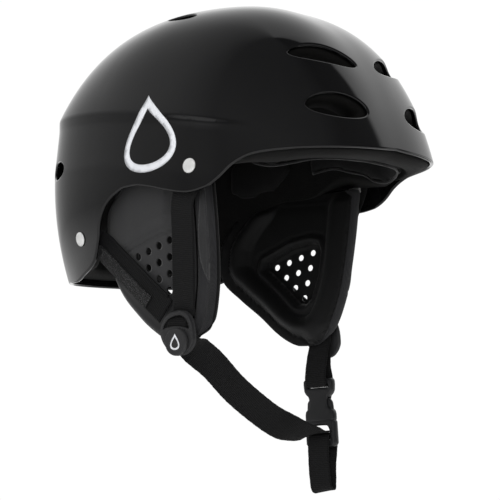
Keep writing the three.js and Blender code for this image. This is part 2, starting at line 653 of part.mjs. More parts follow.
const bucklePoint = (u, v, w = 0) => new THREE.Vector3(u, v, w).applyMatrix4(buckleMatrix());

// Stub strap: from behind the left flap's tip, down over the bar at the top of the buckle, through
// its slot and back up behind.
function stubStrapGeometry() {
  const bar = bucklePoint(0, -1.7);
  const across = [0, 1, -0.07];
  return webbing([
    { at: [BUCKLE.x - 1.6, bar.y + 1.2, bar.z + 25], across },
    { at: [BUCKLE.x - 3.4, bar.y + 0.6, bar.z + 12], across },
    { at: [BUCKLE.x - 4.9, bar.y + 0.1, bar.z + 2], across },
    { at: [BUCKLE.x - 3.6, bar.y - 0.1, bar.z - 3.2], across },
    { at: [BUCKLE.x, bar.y - 0.1, bar.z - 3.3], across },
    { at: [BUCKLE.x + 4.0, bar.y - 0.1, bar.z - 2.6], across },
    { at: [BUCKLE.x + 4.9, bar.y + 0.1, bar.z + 2], across },
    { at: [BUCKLE.x + 2.2, bar.y + 0.5, bar.z + 11], across },
    { at: [BUCKLE.x + 0.9, bar.y + 1.0, bar.z + 21], across },
  ], 22, WEB.width - 0.6);
}

// Loose end of the chin strap: out of the loop, down and folded back on itself.
function tailGeometry() {
  const slot = bucklePoint(0, -45.0);
  const across = [0, 1, -0.05];
  return webbing([
    { at: [slot.x + 2.4, slot.y, slot.z], across },
    { at: [slot.x - 3.6, slot.y - 0.1, slot.z - 0.2], across },
    { at: [slot.x - 5.6, slot.y - 0.4, slot.z - 3.6], across },
    { at: [slot.x - 6.0, slot.y - 0.9, slot.z - 14], across },
    { at: [slot.x - 5.6, slot.y - 1.6, slot.z - 28], across },
    { at: [slot.x - 3.4, slot.y - 2.3, slot.z - 38.5], across },
    { at: [slot.x + 0.4, slot.y - 2.6, slot.z - 39.5], across },
    { at: [slot.x + 1.6, slot.y - 2.2, slot.z - 34], across },
    { at: [slot.x + 1.2, slot.y - 1.2, slot.z - 20], across },
    { at: [slot.x + 0.4, slot.y - 0.6, slot.z - 7.5], across },
  ], 28, WEB.width - 0.6);
}

// ---------------------------------------------------------------- materials and assembly
function material(color, roughness, metalness = 0) {
  return new THREE.MeshStandardMaterial({ color, roughness, metalness });
}
const GLOSS = material(0x050506, 0.16);
const FOAM = material(0x121213, 0.85);
const FABRIC = material(0x0f0f10, 0.9);
const MOULDED = material(0x141415, 0.62);
const WEBBING = material(0x0c0c0d, 0.8);
const PLASTIC = material(0x191a1b, 0.5);
const STEEL = material(0xc6c6c4, 0.3, 1);

const helmet = new THREE.Group();
function add(name, geometry, finish) {
  const mesh = new THREE.Mesh(geometry, finish);
  mesh.name = name;
  helmet.add(mesh);
}
// A piece drawn on the left, and its mirror image on the right.
function addPair(name, geometry, finish) {
  add(`${name}_left`, geometry, finish);
  add(`${name}_right`, mirrored(geometry), finish);
}

add('shell', shellGeometry(), GLOSS);
add('liner', linerGeometry(), FOAM);
add('brow_pad', padGeometry(-88, 88, browEdge, () => 106, 26, 2), FABRIC);
addPair('side_pad', padGeometry(98, 128, sidePadLow, sidePadHigh, 7, 3), FABRIC);
add('rear_pad', padGeometry(136, 224, rearPadLow, rearPadHigh, 12, 6), FABRIC);
add('crown_pad', crownPadGeometry(), FABRIC);

addPair('ear_panel', flapPanelGeometry(), MOULDED);
addPair('ear_cushion', flapCushionGeometry(), FABRIC);
addPair('ear_bolster', flapBolsterGeometry(), FABRIC);

for (const [name, side] of SIDES) {
  add(`front_rivet_${name}`, rivetGeometry(FRONT_RIVET, side), STEEL);
  add(`rear_rivet_${name}`, rivetGeometry(REAR_RIVET, side), STEEL);
  add(`front_washer_${name}`, washerGeometry(FRONT_RIVET, side), STEEL);
  add(`rear_washer_${name}`, washerGeometry(REAR_RIVET, side), STEEL);
}

addPair('front_strap', frontStrapGeometry(), WEBBING);
addPair('rear_strap', rearStrapGeometry(), WEBBING);
addPair('divider', dividerGeometry(), PLASTIC);
addPair('divider_cap', capGeometry(), PLASTIC);

add('chin_strap', chinStrapGeometry(), WEBBING);
add('stub_strap', stubStrapGeometry(), WEBBING);
add('buckle_female', buckleFemaleGeometry(), PLASTIC);
add('buckle_male', buckleMaleGeometry(), PLASTIC);
add('buckle_prong_front', prongGeometry(1), PLASTIC);
add('buckle_prong_rear', prongGeometry(-1), PLASTIC);
add('strap_tail', tailGeometry(), WEBBING);

export default helmet;
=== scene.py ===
"""Water-sports helmet: gloss shell, foam liner and pads, padded ear flaps, webbing harness and buckle.

Millimetres inside the shape functions, metres in Blender. +Z up, -Y to the front, +X to the wearer's left.
"""
import math

import bmesh
import bpy
import numpy as np
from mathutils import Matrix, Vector
from mathutils.geometry import delaunay_2d_cdt


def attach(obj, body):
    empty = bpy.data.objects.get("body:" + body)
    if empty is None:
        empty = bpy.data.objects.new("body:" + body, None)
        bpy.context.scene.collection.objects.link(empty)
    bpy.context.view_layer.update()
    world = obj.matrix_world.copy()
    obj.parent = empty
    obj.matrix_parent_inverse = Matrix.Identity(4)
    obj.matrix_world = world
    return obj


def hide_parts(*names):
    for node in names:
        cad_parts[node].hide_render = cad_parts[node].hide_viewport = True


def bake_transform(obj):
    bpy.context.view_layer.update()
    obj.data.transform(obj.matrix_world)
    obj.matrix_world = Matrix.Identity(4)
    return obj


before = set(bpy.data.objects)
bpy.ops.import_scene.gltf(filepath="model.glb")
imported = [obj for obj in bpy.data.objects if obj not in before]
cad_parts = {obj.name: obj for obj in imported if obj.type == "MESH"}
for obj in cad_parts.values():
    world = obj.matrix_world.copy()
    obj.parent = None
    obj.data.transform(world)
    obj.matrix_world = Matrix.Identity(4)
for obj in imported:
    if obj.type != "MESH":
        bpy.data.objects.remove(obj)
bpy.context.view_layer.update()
MM = 0.001
SIDES = (("left", 1), ("right", -1))

# ---------------------------------------------------------------- driving dimensions, in millimetres
SHELL_WALL = 3.0
LINER_WALL = 17.6
PAD_WALL = 7.6
GAP = 0.35
DOME = dict(centre_y=-11.6, front=152.9, rear=183.0, side=113.0, plan_front=2.91, plan_rear=2.57,
    base_z=-70.3, top_z=190.3, rise_front=2.62, rise_side=3.06, rise_rear=2.56)
LEDGE = dict(z=103.5, drop_front=15, drop_ends=6)
BAND = dict(reach=3.4, start=8, run=32, tuck_from=48, tuck=0.0021)
RECESS = dict(middle=66, half=19, depth=2.3, drop=3.0, height=2.0)
# Rims of the shell, liner and brow pad: angle from the front in degrees, height.
SHELL_RIM = [(0, 77.8), (27, 74.7), (41, 72.6), (48, 70.7), (52, 67.7), (56, 62.7), (59.4, 56.2), (62, 52),
    (65, 48.9), (72.3, 46.4), (82.6, 49.2), (91, 52.5), (98, 54.2), (104.4, 53.4), (110, 49.5), (114.7, 44),
    (118.1, 36.9), (120.5, 29), (122.3, 18.4), (128, 2), (135.7, -5.6), (144, -10.6), (180, -11)]
LINER_OUTER_RIM = [(0, 76.6), (30, 73.5), (45, 72.5), (52, 69.5), (58, 64), (66, 64), (90, 63.5), (110, 62),
    (122, 55), (130, 34), (137, 12), (146, -6), (180, -7)]
LINER_INNER_RIM = [(0, 75.8), (30, 73), (48, 68), (56, 68), (64, 71), (70, 73), (75, 69.5), (80, 64),
    (86, 58), (92, 56), (100, 56), (108, 53), (117, 47), (124, 39), (130, 30), (137, 10), (146, -4),
    (180, -5)]
BROW_PAD_EDGE = [(0, 76.2), (20, 74.6), (30, 72.6), (38, 69), (48, 65.5), (53, 66.5), (58, 71), (65, 73),
    (73, 76), (82, 74), (88, 72)]
# Vents: angle, height, half length, half width, tilt.
VENTS = [(20.5, 143, 28, 8.4, 7), (21.5, 104.5, 25.5, 9.4, 2), (106, 181.5, 17, 6, 10),
    (148, 73, 17, 6.5, 0)]
FRONT_RIVET = (71, 63.3)
REAR_RIVET = (132, 18.8)

FLAP_FRONT = [(-58.5, -21), (-56.5, -28), (-52, -34.5), (-45, -41), (-30, -46.8), (-12, -50.6), (15, -52.8),
    (40, -53.5), (58, -53.5)]
FLAP_REAR = [(-58.5, -13), (-57, -6), (-48, 11), (-36, 26), (-22, 43), (-8, 56), (4, 60), (18, 60),
    (30, 57), (42, 51), (50, 46), (58, 40)]
PANEL_WALL = 2.4
BOLSTER = 14
HOLE = dict(radius=2.7, y=-14.6, z=14.5, rear=(10.8, -3.5), down=(1.43, -11.77), count=4)

WEB_WIDTH = 20
WEB_THICK = 1.6
RIB_PITCH = 1.45
LINING_DEPTH = SHELL_WALL + WEB_THICK / 2 + 1.8
RIVET_HEAD = 5.3
DIVIDER = dict(x=87.2, y=-22, z=-36, thick=4, cap_radius=9.8, cap_drop=21.5, cap_thick=3.4)
BUCKLE = dict(x=75, y=-27.6, top=-84.2, tilt=4, thick=7.2)


# ---------------------------------------------------------------- small helpers
def smooth(t):
    k = np.clip(t, 0, 1)
    return k * k * (3 - 2 * k)


def curve_through(points):
    """Smooth curve through points that never overshoots them (monotone cubic)."""
    xs, ys = (np.array(v, float) for v in zip(*points))
    slope = np.diff(ys) / np.diff(xs)
    tangent = np.empty(len(xs))
    tangent[0], tangent[-1] = slope[0], slope[-1]
    a, b = slope[:-1], slope[1:]
    both = a + b
    tangent[1:-1] = np.where(a * b <= 0, 0, 2 * a * b / np.where(both == 0, 1, both))

    def at(x):
        x = np.clip(np.asarray(x, float), xs[0], xs[-1])
        i = np.clip(np.searchsorted(xs, x, side="right") - 1, 0, len(xs) - 2)
        h = xs[i + 1] - xs[i]
        t = (x - xs[i]) / h
        value = (1 + 2 * t) * (1 - t) ** 2 * ys[i] + t * t * (3 - 2 * t) * ys[i + 1]
        return value + h * t * (1 - t) * ((1 - t) * tangent[i] - t * tangent[i + 1])
    return at


def unit(v):
    v = np.asarray(v, float)
    return v / np.maximum(np.linalg.norm(v, axis=-1, keepdims=True), 1e-12)


def spline(points, count):
    """Centripetal Catmull-Rom curve through points, sampled evenly in its parameter."""
    p = np.array(points, float)
    p = np.vstack([2 * p[0] - p[1], p, 2 * p[-1] - p[-2]])
    spans = len(p) - 3
    out = []
    for k in range(count + 1):
        t = min(k / count * spans, spans - 1e-9)
        i = int(t)
        u = t - i
        p0, p1, p2, p3 = p[i:i + 4]
        d = [max(np.linalg.norm(b - a), 1e-6) ** 0.5 for a, b in ((p0, p1), (p1, p2), (p2, p3))]
        m1 = (p1 - p0) / d[0] - (p2 - p0) / (d[0] + d[1]) + (p2 - p1) / d[1]
        m2 = (p2 - p1) / d[1] - (p3 - p1) / (d[1] + d[2]) + (p3 - p2) / d[2]
        m1, m2 = m1 * d[1], m2 * d[1]
        out.append((2 * u**3 - 3 * u**2 + 1) * p1 + (u**3 - 2 * u**2 + u) * m1 + (3 * u**2 - 2 * u**3) * p2
            + (u**3 - u**2) * m2)
    return np.array(out)


def make(name, points, faces, material, normals=None, materials=(), face_slots=None):
    """A mesh object from points in millimetres, faces turned outwards and smooth."""
    mesh = bpy.data.meshes.new(name)
    mesh.from_pydata((np.asarray(points) * MM).tolist(), [], [tuple(int(i) for i in f) for f in faces])
    for m in (material, *materials):
        mesh.materials.append(m)
    if face_slots is not None:
        mesh.polygons.foreach_set("material_index", np.asarray(face_slots, np.int32))
    mesh.polygons.foreach_set("use_smooth", [True] * len(mesh.polygons))
    mesh.update()
    if normals is not None and len(normals):
        mesh.normals_split_custom_set_from_vertices(unit(normals).tolist())
    obj = bpy.data.objects.new(name, mesh)
    bpy.context.scene.collection.objects.link(obj)
    return obj


def face_out(obj):
    bm = bmesh.new()
    bm.from_mesh(obj.data)
    bmesh.ops.remove_doubles(bm, verts=bm.verts, dist=1e-6)
    bmesh.ops.recalc_face_normals(bm, faces=bm.faces)
    bm.to_mesh(obj.data)
    bm.free()
    return obj


def apply_modifiers(obj):
    graph = bpy.context.evaluated_depsgraph_get()
    mesh = bpy.data.meshes.new_from_object(obj.evaluated_get(graph), depsgraph=graph)
    obj.modifiers.clear()
    obj.data = mesh
    return obj


def subdivide(obj, levels=1):
    modifier = obj.modifiers.new("subdivide", "SUBSURF")
    modifier.levels = modifier.render_levels = levels
    return apply_modifiers(obj)


def place(obj, body, slot, *nodes):
    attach(obj, body)
    if nodes:
        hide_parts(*nodes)
    return obj


def place_blend(obj, a, b, start, end, slot, *nodes):
    Vector(start) * MM
    Vector(end) * MM
    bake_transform(obj)
    if nodes:
        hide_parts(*nodes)
    return obj


# ---------------------------------------------------------------- materials
def new_material(name, color, roughness, **sockets):
    material = bpy.data.materials.new(name)
    material.use_nodes = True
    tree = material.node_tree
    bsdf = tree.nodes["Principled BSDF"]
    bsdf.inputs["Base Color"].default_value = (*color, 1)
    bsdf.inputs["Roughness"].default_value = roughness
    for key, value in sockets.items():
        bsdf.inputs[key.replace("_", " ")].default_value = value
    return material, tree, bsdf


def node(tree, kind, **settings):
    made = tree.nodes.new(kind)
    for key, value in settings.items():
        if key in made.inputs:
            made.inputs[key].default_value = value
        else:
            setattr(made, key, value)
    return made


def coordinates(tree):
    """Object coordinates in millimetres."""
    where = node(tree, "ShaderNodeTexCoord")
    mapping = node(tree, "ShaderNodeMapping")
    mapping.inputs["Scale"].default_value = [1 / MM] * 3
    tree.links.new(where.outputs["Object"], mapping.inputs["Vector"])
    return mapping.outputs["Vector"]


def strap_coordinates(tree):
    """Coordinates on a strap in millimetres: x across it and y along it."""
    return node(tree, "ShaderNodeUVMap", uv_map="along").outputs["UV"]


def noise(tree, vector, scale, detail=2.0, roughness=0.5):
    made = node(tree, "ShaderNodeTexNoise", Scale=scale, Detail=detail, Roughness=roughness)
    tree.links.new(vector, made.inputs["Vector"])
    return made.outputs["Fac"]


def tint(tree, bsdf, value, low, high, at=(0, 1)):
    """Base colour from low to high as the value goes between two stops."""
    made = node(tree, "ShaderNodeValToRGB")
    first, last = made.color_ramp.elements
    first.position, last.position = at
    first.color, last.color = (*low, 1), (*high, 1)
    tree.links.new(value, made.inputs["Fac"])
    tree.links.new(made.outputs["Color"], bsdf.inputs["Base Color"])


def grey_stops(tree, value, stops, gain=1.0):
    """Grey that follows stops of position and brightness as the value goes from 0 to 1."""
    made = node(tree, "ShaderNodeValToRGB")
    tree.links.new(value, made.inputs["Fac"])
    elements = made.color_ramp.elements
    elements[0].position, elements[1].position = 0, 1
    for position, _ in stops[1:-1]:
        elements.new(position)
    for element, (position, grey) in zip(elements, stops):
        element.position = position
        element.color = (grey * gain, grey * gain, grey * gain, 1)
    return made.outputs["Color"]


def ranged(tree, value, low, high, start=0.0, stop=1.0):
    """The value's run from start to stop, mapped to the run from low to high."""
    made = node(tree, "ShaderNodeMapRange")
    settings = {"From Min": start, "From Max": stop, "To Min": low, "To Max": high}
    for key, setting in settings.items():
        made.inputs[key].default_value = setting
    tree.links.new(value, made.inputs["Value"])
    return made.outputs["Result"]


def math_node(tree, operation, a, b=None):
    made = node(tree, "ShaderNodeMath", operation=operation)
    for socket, value in zip(made.inputs, (a, b)):
        if value is None:
            continue
        if isinstance(value, (int, float)):
            socket.default_value = value
        else:
            tree.links.new(value, socket)
    return made.outputs["Value"]


def bump(tree, bsdf, height, distance, strength=1.0):
    made = node(tree, "ShaderNodeBump", Strength=strength, Distance=distance * MM)
    tree.links.new(height, made.inputs["Height"])
    tree.links.new(made.outputs["Normal"], bsdf.inputs["Normal"])


def surface(name, color, rough, shades, finish=None, relief=None, **sockets):
    """Surface with slow changes of shade, finer changes of roughness and a slight relief.

    Each of the three gives a noise (scale, detail, roughness), then the two ends of what it drives; for the
    relief those are its height in millimetres and its strength.
    """
    material, tree, bsdf = new_material(name, color, rough, **sockets)
    where = coordinates(tree)
    tint(tree, bsdf, noise(tree, where, *shades[0]), *shades[1:])
    if finish:
        tree.links.new(ranged(tree, noise(tree, where, *finish[0]), *finish[1:]), bsdf.inputs["Roughness"])
    if relief:
        bump(tree, bsdf, noise(tree, where, *relief[0]), *relief[1:])
    return material


def foam_material(name, low, high):
    """Moulded foam: fused beads with a fine grain."""
    material, tree, bsdf = new_material(name, high, 0.8, Specular_IOR_Level=0.25)
    where = coordinates(tree)
    beads = node(tree, "ShaderNodeTexVoronoi", Scale=0.55)
    tree.links.new(where, beads.inputs["Vector"])
    grain = noise(tree, where, 1.6, 3, 0.7)
    tint(tree, bsdf, grain, low, high, (0.3, 0.7))
    raised = math_node(tree, "MULTIPLY", beads.outputs["Distance"], 0.6)
    bump(tree, bsdf, math_node(tree, "ADD", raised, grain), 0.25, 0.8)
    return material


def fabric_material(name, low, high, thread=0.42, sheen=0.06, rough=0.85, specular=0.2):
    """Fine knit: two crossed thread waves with slow mottling."""
    material, tree, bsdf = new_material(name, high, rough, Sheen_Weight=sheen, Sheen_Roughness=0.45,
        Specular_IOR_Level=specular)
    where = coordinates(tree)
    threads = []
    for axis in ("Y", "Z"):
        wave = node(tree, "ShaderNodeTexWave", Scale=thread, Distortion=1.2, Detail=1, bands_direction=axis)
        tree.links.new(where, wave.inputs["Vector"])
        threads.append(wave.outputs["Fac"])
    height = math_node(tree, "ADD", math_node(tree, "ADD", *threads), noise(tree, where, 1.8, 3))
    mottle = math_node(tree, "MULTIPLY", noise(tree, where, 0.06, 3), 2)
    shade = math_node(tree, "MULTIPLY", math_node(tree, "ADD", height, mottle), 0.2)
    tint(tree, bsdf, shade, low, high, (0.3, 0.75))
    bump(tree, bsdf, height, 0.08, 0.7)
    return material


def webbing_material():
    """Ribs across the strap, each a row of short floats, with a little fuzz."""
    dark, light = (0.00189, 0.00189, 0.00198), (0.0084, 0.0084, 0.0088)
    material, tree, bsdf = new_material("webbing", (0.0042, 0.0042, 0.0044), 0.7, Sheen_Weight=0.03,
        Sheen_Roughness=0.4, Specular_IOR_Level=0.2)
    along = strap_coordinates(tree)
    ribs = node(tree, "ShaderNodeTexWave", Scale=0.314 / RIB_PITCH, Distortion=0.6, Detail=2,
        bands_direction="Y")
    ribs.inputs["Detail Scale"].default_value = 3
    tree.links.new(along, ribs.inputs["Vector"])
    floats = node(tree, "ShaderNodeTexWave", Scale=0.9, Distortion=1.5, bands_direction="X")
    tree.links.new(along, floats.inputs["Vector"])
    woven = math_node(tree, "MULTIPLY", floats.outputs["Fac"], 0.45)
    height = math_node(tree, "ADD", ribs.outputs["Fac"], woven)
    height = math_node(tree, "ADD", height, math_node(tree, "MULTIPLY", noise(tree, along, 2.2, 3), 0.25))
    tint(tree, bsdf, height, dark, light, (0.25, 1.0))
    bump(tree, bsdf, height, 0.26, 0.8)
    return material


def hook_tape_material():
    """Hook-and-loop tape: a fuzzy pile with painted glints, small light specks in its colour where the
    stiff hooks sit.
    """
    material, tree, bsdf = new_material("hook_tape", (0.02, 0.02, 0.02), 0.5, Sheen_Weight=0.05,
        Specular_IOR_Level=0.3)
    along = strap_coordinates(tree)
    specks = node(tree, "ShaderNodeTexVoronoi", Scale=1.9)
    tree.links.new(along, specks.inputs["Vector"])
    hooks = math_node(tree, "LESS_THAN", specks.outputs["Distance"], 0.22)
    patchy = math_node(tree, "MULTIPLY", noise(tree, along, 0.9, 2), noise(tree, along, 0.16, 3))
    # Painted glints: the specks where the hooks sit are made light in the base colour, in patches.
    painted_glint = math_node(tree, "MULTIPLY", hooks, patchy)
    tint(tree, bsdf, painted_glint, (0.0035, 0.0035, 0.0037), (0.30, 0.30, 0.31), (0.05, 0.30))
    height = math_node(tree, "ADD", noise(tree, along, 1.1, 4, 0.8), specks.outputs["Distance"])
    bump(tree, bsdf, height, 0.6, 1.0)
    return material


def plastic_material(name, color, rough):
    """Moulded plastic with a fine matt grain."""
    return surface(name, color, rough, ((0.06, 3), [c * 0.8 for c in color], [c * 1.25 for c in color]),
        ((0.5, 4), rough - 0.07, rough + 0.1), ((1.8, 3, 0.6), 0.05, 0.5), IOR=1.48)


GLOSS = surface("gloss_shell", (0.0035, 0.0035, 0.0038), 0.05, ((0.02, 3), (0.003, 0.003, 0.0033),
    (0.0045, 0.0045, 0.0048)), ((0.05, 4), 0.035, 0.085), ((0.09, 1), 0.03, 0.6), IOR=1.47)
FOAM = foam_material("foam", (0.0025, 0.0025, 0.0025), (0.0055, 0.0054, 0.0052))
# Foam for the liner's rounded edges: a slightly warmer tone of its own, and a lighter shade that is painted
# light from below.
EDGE_FOAM_PAINTED_LIGHT = foam_material("foam_edge_painted_light", (0.003, 0.0029, 0.0028), (0.0068, 0.0066, 0.0062))
FABRIC = fabric_material("pad_fabric", (0.0035, 0.0035, 0.0036), (0.0085, 0.0085, 0.0088))
FRONT_SKIN = fabric_material("flap_skin", (0.020, 0.020, 0.0215), (0.032, 0.032, 0.034), 0.6, 0.1)
CUSHION_SKIN = fabric_material("cushion_skin", (0.003, 0.003, 0.0031), (0.0065, 0.0065, 0.0068), 0.6, 0.05,
    0.5, 0.3)
PILE = fabric_material("flap_pile", (0.020, 0.020, 0.021), (0.038, 0.038, 0.039), 0.35, 0.3)
PIPING = fabric_material("piping", (0.010, 0.010, 0.0105), (0.020, 0.020, 0.0205), 0.6, 0.3)
MOULDED = surface("moulded_fabric", (0.04, 0.04, 0.042), 0.62, ((0.03, 3), (0.0155, 0.0155, 0.0163),
    (0.022, 0.022, 0.0233)), ((0.9, 4, 0.65), 0.5, 0.75), ((0.9, 4, 0.65), 0.12, 0.6), Sheen_Weight=0.15)
WEBBING = webbing_material()
HOOK_TAPE = hook_tape_material()
PLASTIC = plastic_material("buckle_plastic", (0.011, 0.0112, 0.012), 0.38)
CAP_PLASTIC = plastic_material("cap_plastic", (0.022, 0.022, 0.023), 0.5)
STEEL = surface("rivet_steel", (0.9, 0.9, 0.89), 0.32, ((0.5, 4), (0.80, 0.80, 0.79), (0.95, 0.95, 0.94)),
    ((1.2, 3), 0.22, 0.42), ((0.9, 4), 0.05, 0.5), Metallic=0.4)
PRINT = surface("printed_mark", (0.82, 0.84, 0.88), 0.35, ((0.15, 3), (0.74, 0.76, 0.80),
    (0.86, 0.87, 0.90)), relief=((1.2, 2), 0.02, 0.4))


# ---------------------------------------------------------------- the dome surface
def plan_radius(angle):
    c = np.cos(angle)
    power = DOME["plan_rear"] + (DOME["plan_front"] - DOME["plan_rear"]) * np.clip(0.5 + 0.9 * c, 0, 1)
    axis = np.where(c > 0, DOME["front"], DOME["rear"])
    return (np.abs(np.sin(angle) / DOME["side"]) ** power + np.abs(c / axis) ** power) ** (-1 / power)


def dome_radius(angle, z):
    c = np.cos(angle)
    rise = (DOME["rise_side"] + (DOME["rise_front"] - DOME["rise_side"]) * np.maximum(c, 0) ** 2 +
        (DOME["rise_rear"] - DOME["rise_side"]) * np.maximum(-c, 0) ** 2)
    u = np.clip((z - DOME["base_z"]) / (DOME["top_z"] - DOME["base_z"]), 0, 1)
    return plan_radius(angle) * (1 - u ** rise) ** (1 / rise)


def ledge_z(angle):
    return LEDGE["z"] - LEDGE["drop_front"] * np.cos(angle) - LEDGE["drop_ends"] * np.cos(angle) ** 2


def band_reach(drop):
    """How far the band below the ledge stands out, by the drop below the ledge."""
    swell = BAND["reach"] * np.clip((drop - BAND["start"]) / BAND["run"], 0, 1)
    tucked = BAND["reach"] - BAND["tuck"] * (drop - BAND["tuck_from"]) ** 2
    return np.where(drop > BAND["tuck_from"], tucked, swell)


def ledge_recess(angle, z):
    """Long lens pressed into the temple just below the ledge."""
    along = np.clip(1 - ((np.degrees(np.abs(angle)) - RECESS["middle"]) / RECESS["half"]) ** 2, 0, 1)
    drop = ledge_z(angle) - z
    return -RECESS["depth"] * along * np.exp(-((drop - RECESS["drop"]) / RECESS["height"]) ** 2)


def raw_radius(angle, z, with_band):
    ledge = ledge_z(angle)
    top = dome_radius(angle, ledge)
    visor = smooth((np.cos(angle) - 0.3) / 0.5)
    band = band_reach(ledge - z)
    if with_band:
        band = band + ledge_recess(angle, z)
    else:
        band = np.minimum(band, 0)
    below = top + visor * (dome_radius(angle, z) - top) + (1 - visor) * band
    return np.where(z >= ledge, dome_radius(angle, z), below)


def shell_radius(angle, z, with_band=True, soften=1.3):
    """Radius with the ledge's crease softened to a small fillet."""
    near_top = np.minimum(soften, np.maximum((DOME["top_z"] - z) * 0.3, 0))
    offsets = np.linspace(-1, 1, 7)
    return sum(raw_radius(angle, z + k * near_top, with_band) for k in offsets) / len(offsets)


def dome_point(angle, z, depth=0.0, with_band=True, soften=1.3):
    """Point on the dome moved inwards by a depth, and the outward normal there."""
    def radius(angle, z):
        return shell_radius(angle, z, with_band, soften)
    angle, z = np.broadcast_arrays(np.asarray(angle, float), np.asarray(z, float))
    step, lift = 2e-3, 0.12
    high = np.minimum(z, DOME["top_z"] - lift)
    r = radius(angle, z)
    turn = (radius(angle + step, z) - radius(angle - step, z)) / (2 * step * np.maximum(r, 1e-3))
    rise = (radius(angle, high + lift) - radius(angle, high - lift)) / (2 * lift)
    zero = np.zeros_like(r)
    radial = np.stack([np.sin(angle), -np.cos(angle), zero], -1)
    around = np.stack([np.cos(angle), np.sin(angle), zero], -1)
    normal = unit(radial - turn[..., None] * around + np.stack([zero, zero, -rise], -1))
    pole = (DOME["top_z"] - z < 0.05)[..., None]
    normal = np.where(pole, np.array([0, 0, 1.0]), normal)
    centre = np.stack([zero, zero + DOME["centre_y"], z], -1)
    return centre + r[..., None] * radial - np.asarray(depth)[..., None] * normal, normal


def dome_frame(angle_deg, z, side=1):
    at, normal = dome_point(math.radians(angle_deg) * side, z)
    level = unit(np.array([-normal[1], normal[0], 0]))
    return at, normal, level, np.cross(normal, level)


# The disc that the dome is drawn on: polar, with the distance from the pole standing for height.
DISC_POWER = 1.4
DISC_MM = 190  # millimetres on the dome for each unit on the disc


def height_to_rho(z):
    u = np.clip((np.asarray(z, float) - DOME["base_z"]) / (DOME["top_z"] - DOME["base_z"]), 0, 1)
    return math.pi / 2 - np.arcsin(u ** DISC_POWER)


def rho_to_height(rho):
    u = np.sin(np.clip(math.pi / 2 - rho, 0, math.pi / 2)) ** (1 / DISC_POWER)
    return DOME["base_z"] + (DOME["top_z"] - DOME["base_z"]) * u


def disc(angle, z):
    rho = height_to_rho(z)
    return np.stack([rho * np.sin(angle), -rho * np.cos(angle)], -1)


def from_disc(p):
    p = np.asarray(p, float)
    return np.arctan2(p[..., 0], -p[..., 1]), rho_to_height(np.hypot(p[..., 0], p[..., 1]))


# ---------------------------------------------------------------- sheets with thickness
def inside(points, loop):
    """Which points lie inside a closed loop."""
    x, y = points[:, 0][:, None], points[:, 1][:, None]
    a, b = loop, np.roll(loop, -1, 0)
    crossing = (a[:, 1] > y) != (b[:, 1] > y)
    rise = b[:, 1] - a[:, 1]
    at = (b[:, 0] - a[:, 0]) * (y - a[:, 1]) / np.where(rise == 0, 1e-12, rise) + a[:, 0]
    return (crossing & (x < at)).sum(1) % 2 == 1


def clear_of(points, others, distance):
    """The points that keep a distance from all the others."""
    if not len(others):
        return points
    keep = np.ones(len(points), bool)
    for start in range(0, len(points), 400):
        block = points[start:start + 400]
        gap = np.linalg.norm(block[:, None] - others[None], axis=2).min(1)
        keep[start:start + 400] = gap > distance
    return points[keep]


def triangulate(outline, holes, inner, lines=()):
    """Triangles that fill an outline less its holes and pass through the inner points and lines."""
    loops = [outline, *holes]
    points, edges = [], []
    for loop in loops:
        first = len(points)
        points += list(loop)
        edges += [(first + i, first + (i + 1) % len(loop)) for i in range(len(loop))]
    for line in lines:
        first = len(points)
        points += list(line)
        edges += [(first + i, first + i + 1) for i in range(len(line) - 1)]
    points += list(inner)
    scale = 1 / np.ptp(outline, axis=0).max()
    vectors = [Vector((float(p[0]) * scale, float(p[1]) * scale)) for p in points]
    out, _, faces, origins, _, _ = delaunay_2d_cdt(vectors, edges, [], 0, 1e-7, True)
    flat = np.array([(v.x, v.y) for v in out]) / scale
    faces = np.array([f for f in faces if len(f) == 3])
    middle = flat[faces].mean(1)
    keep = inside(middle, np.asarray(outline))
    for hole in holes:
        keep &= ~inside(middle, np.asarray(hole))
    faces = faces[keep]
    index = {}
    for new, olds in enumerate(origins):
        for old in olds:
            index[old] = new
    rings, first = [], 0
    for loop in loops:
        rings.append([index[first + i] for i in range(len(loop))])
        first += len(loop)
    a, b, c = (flat[faces[:, k]] for k in range(3))
    turned = (b[:, 0] - a[:, 0]) * (c[:, 1] - a[:, 1]) - (b[:, 1] - a[:, 1]) * (c[:, 0] - a[:, 0]) < 0
    faces[turned] = faces[turned][:, ::-1]
    return flat, faces, rings


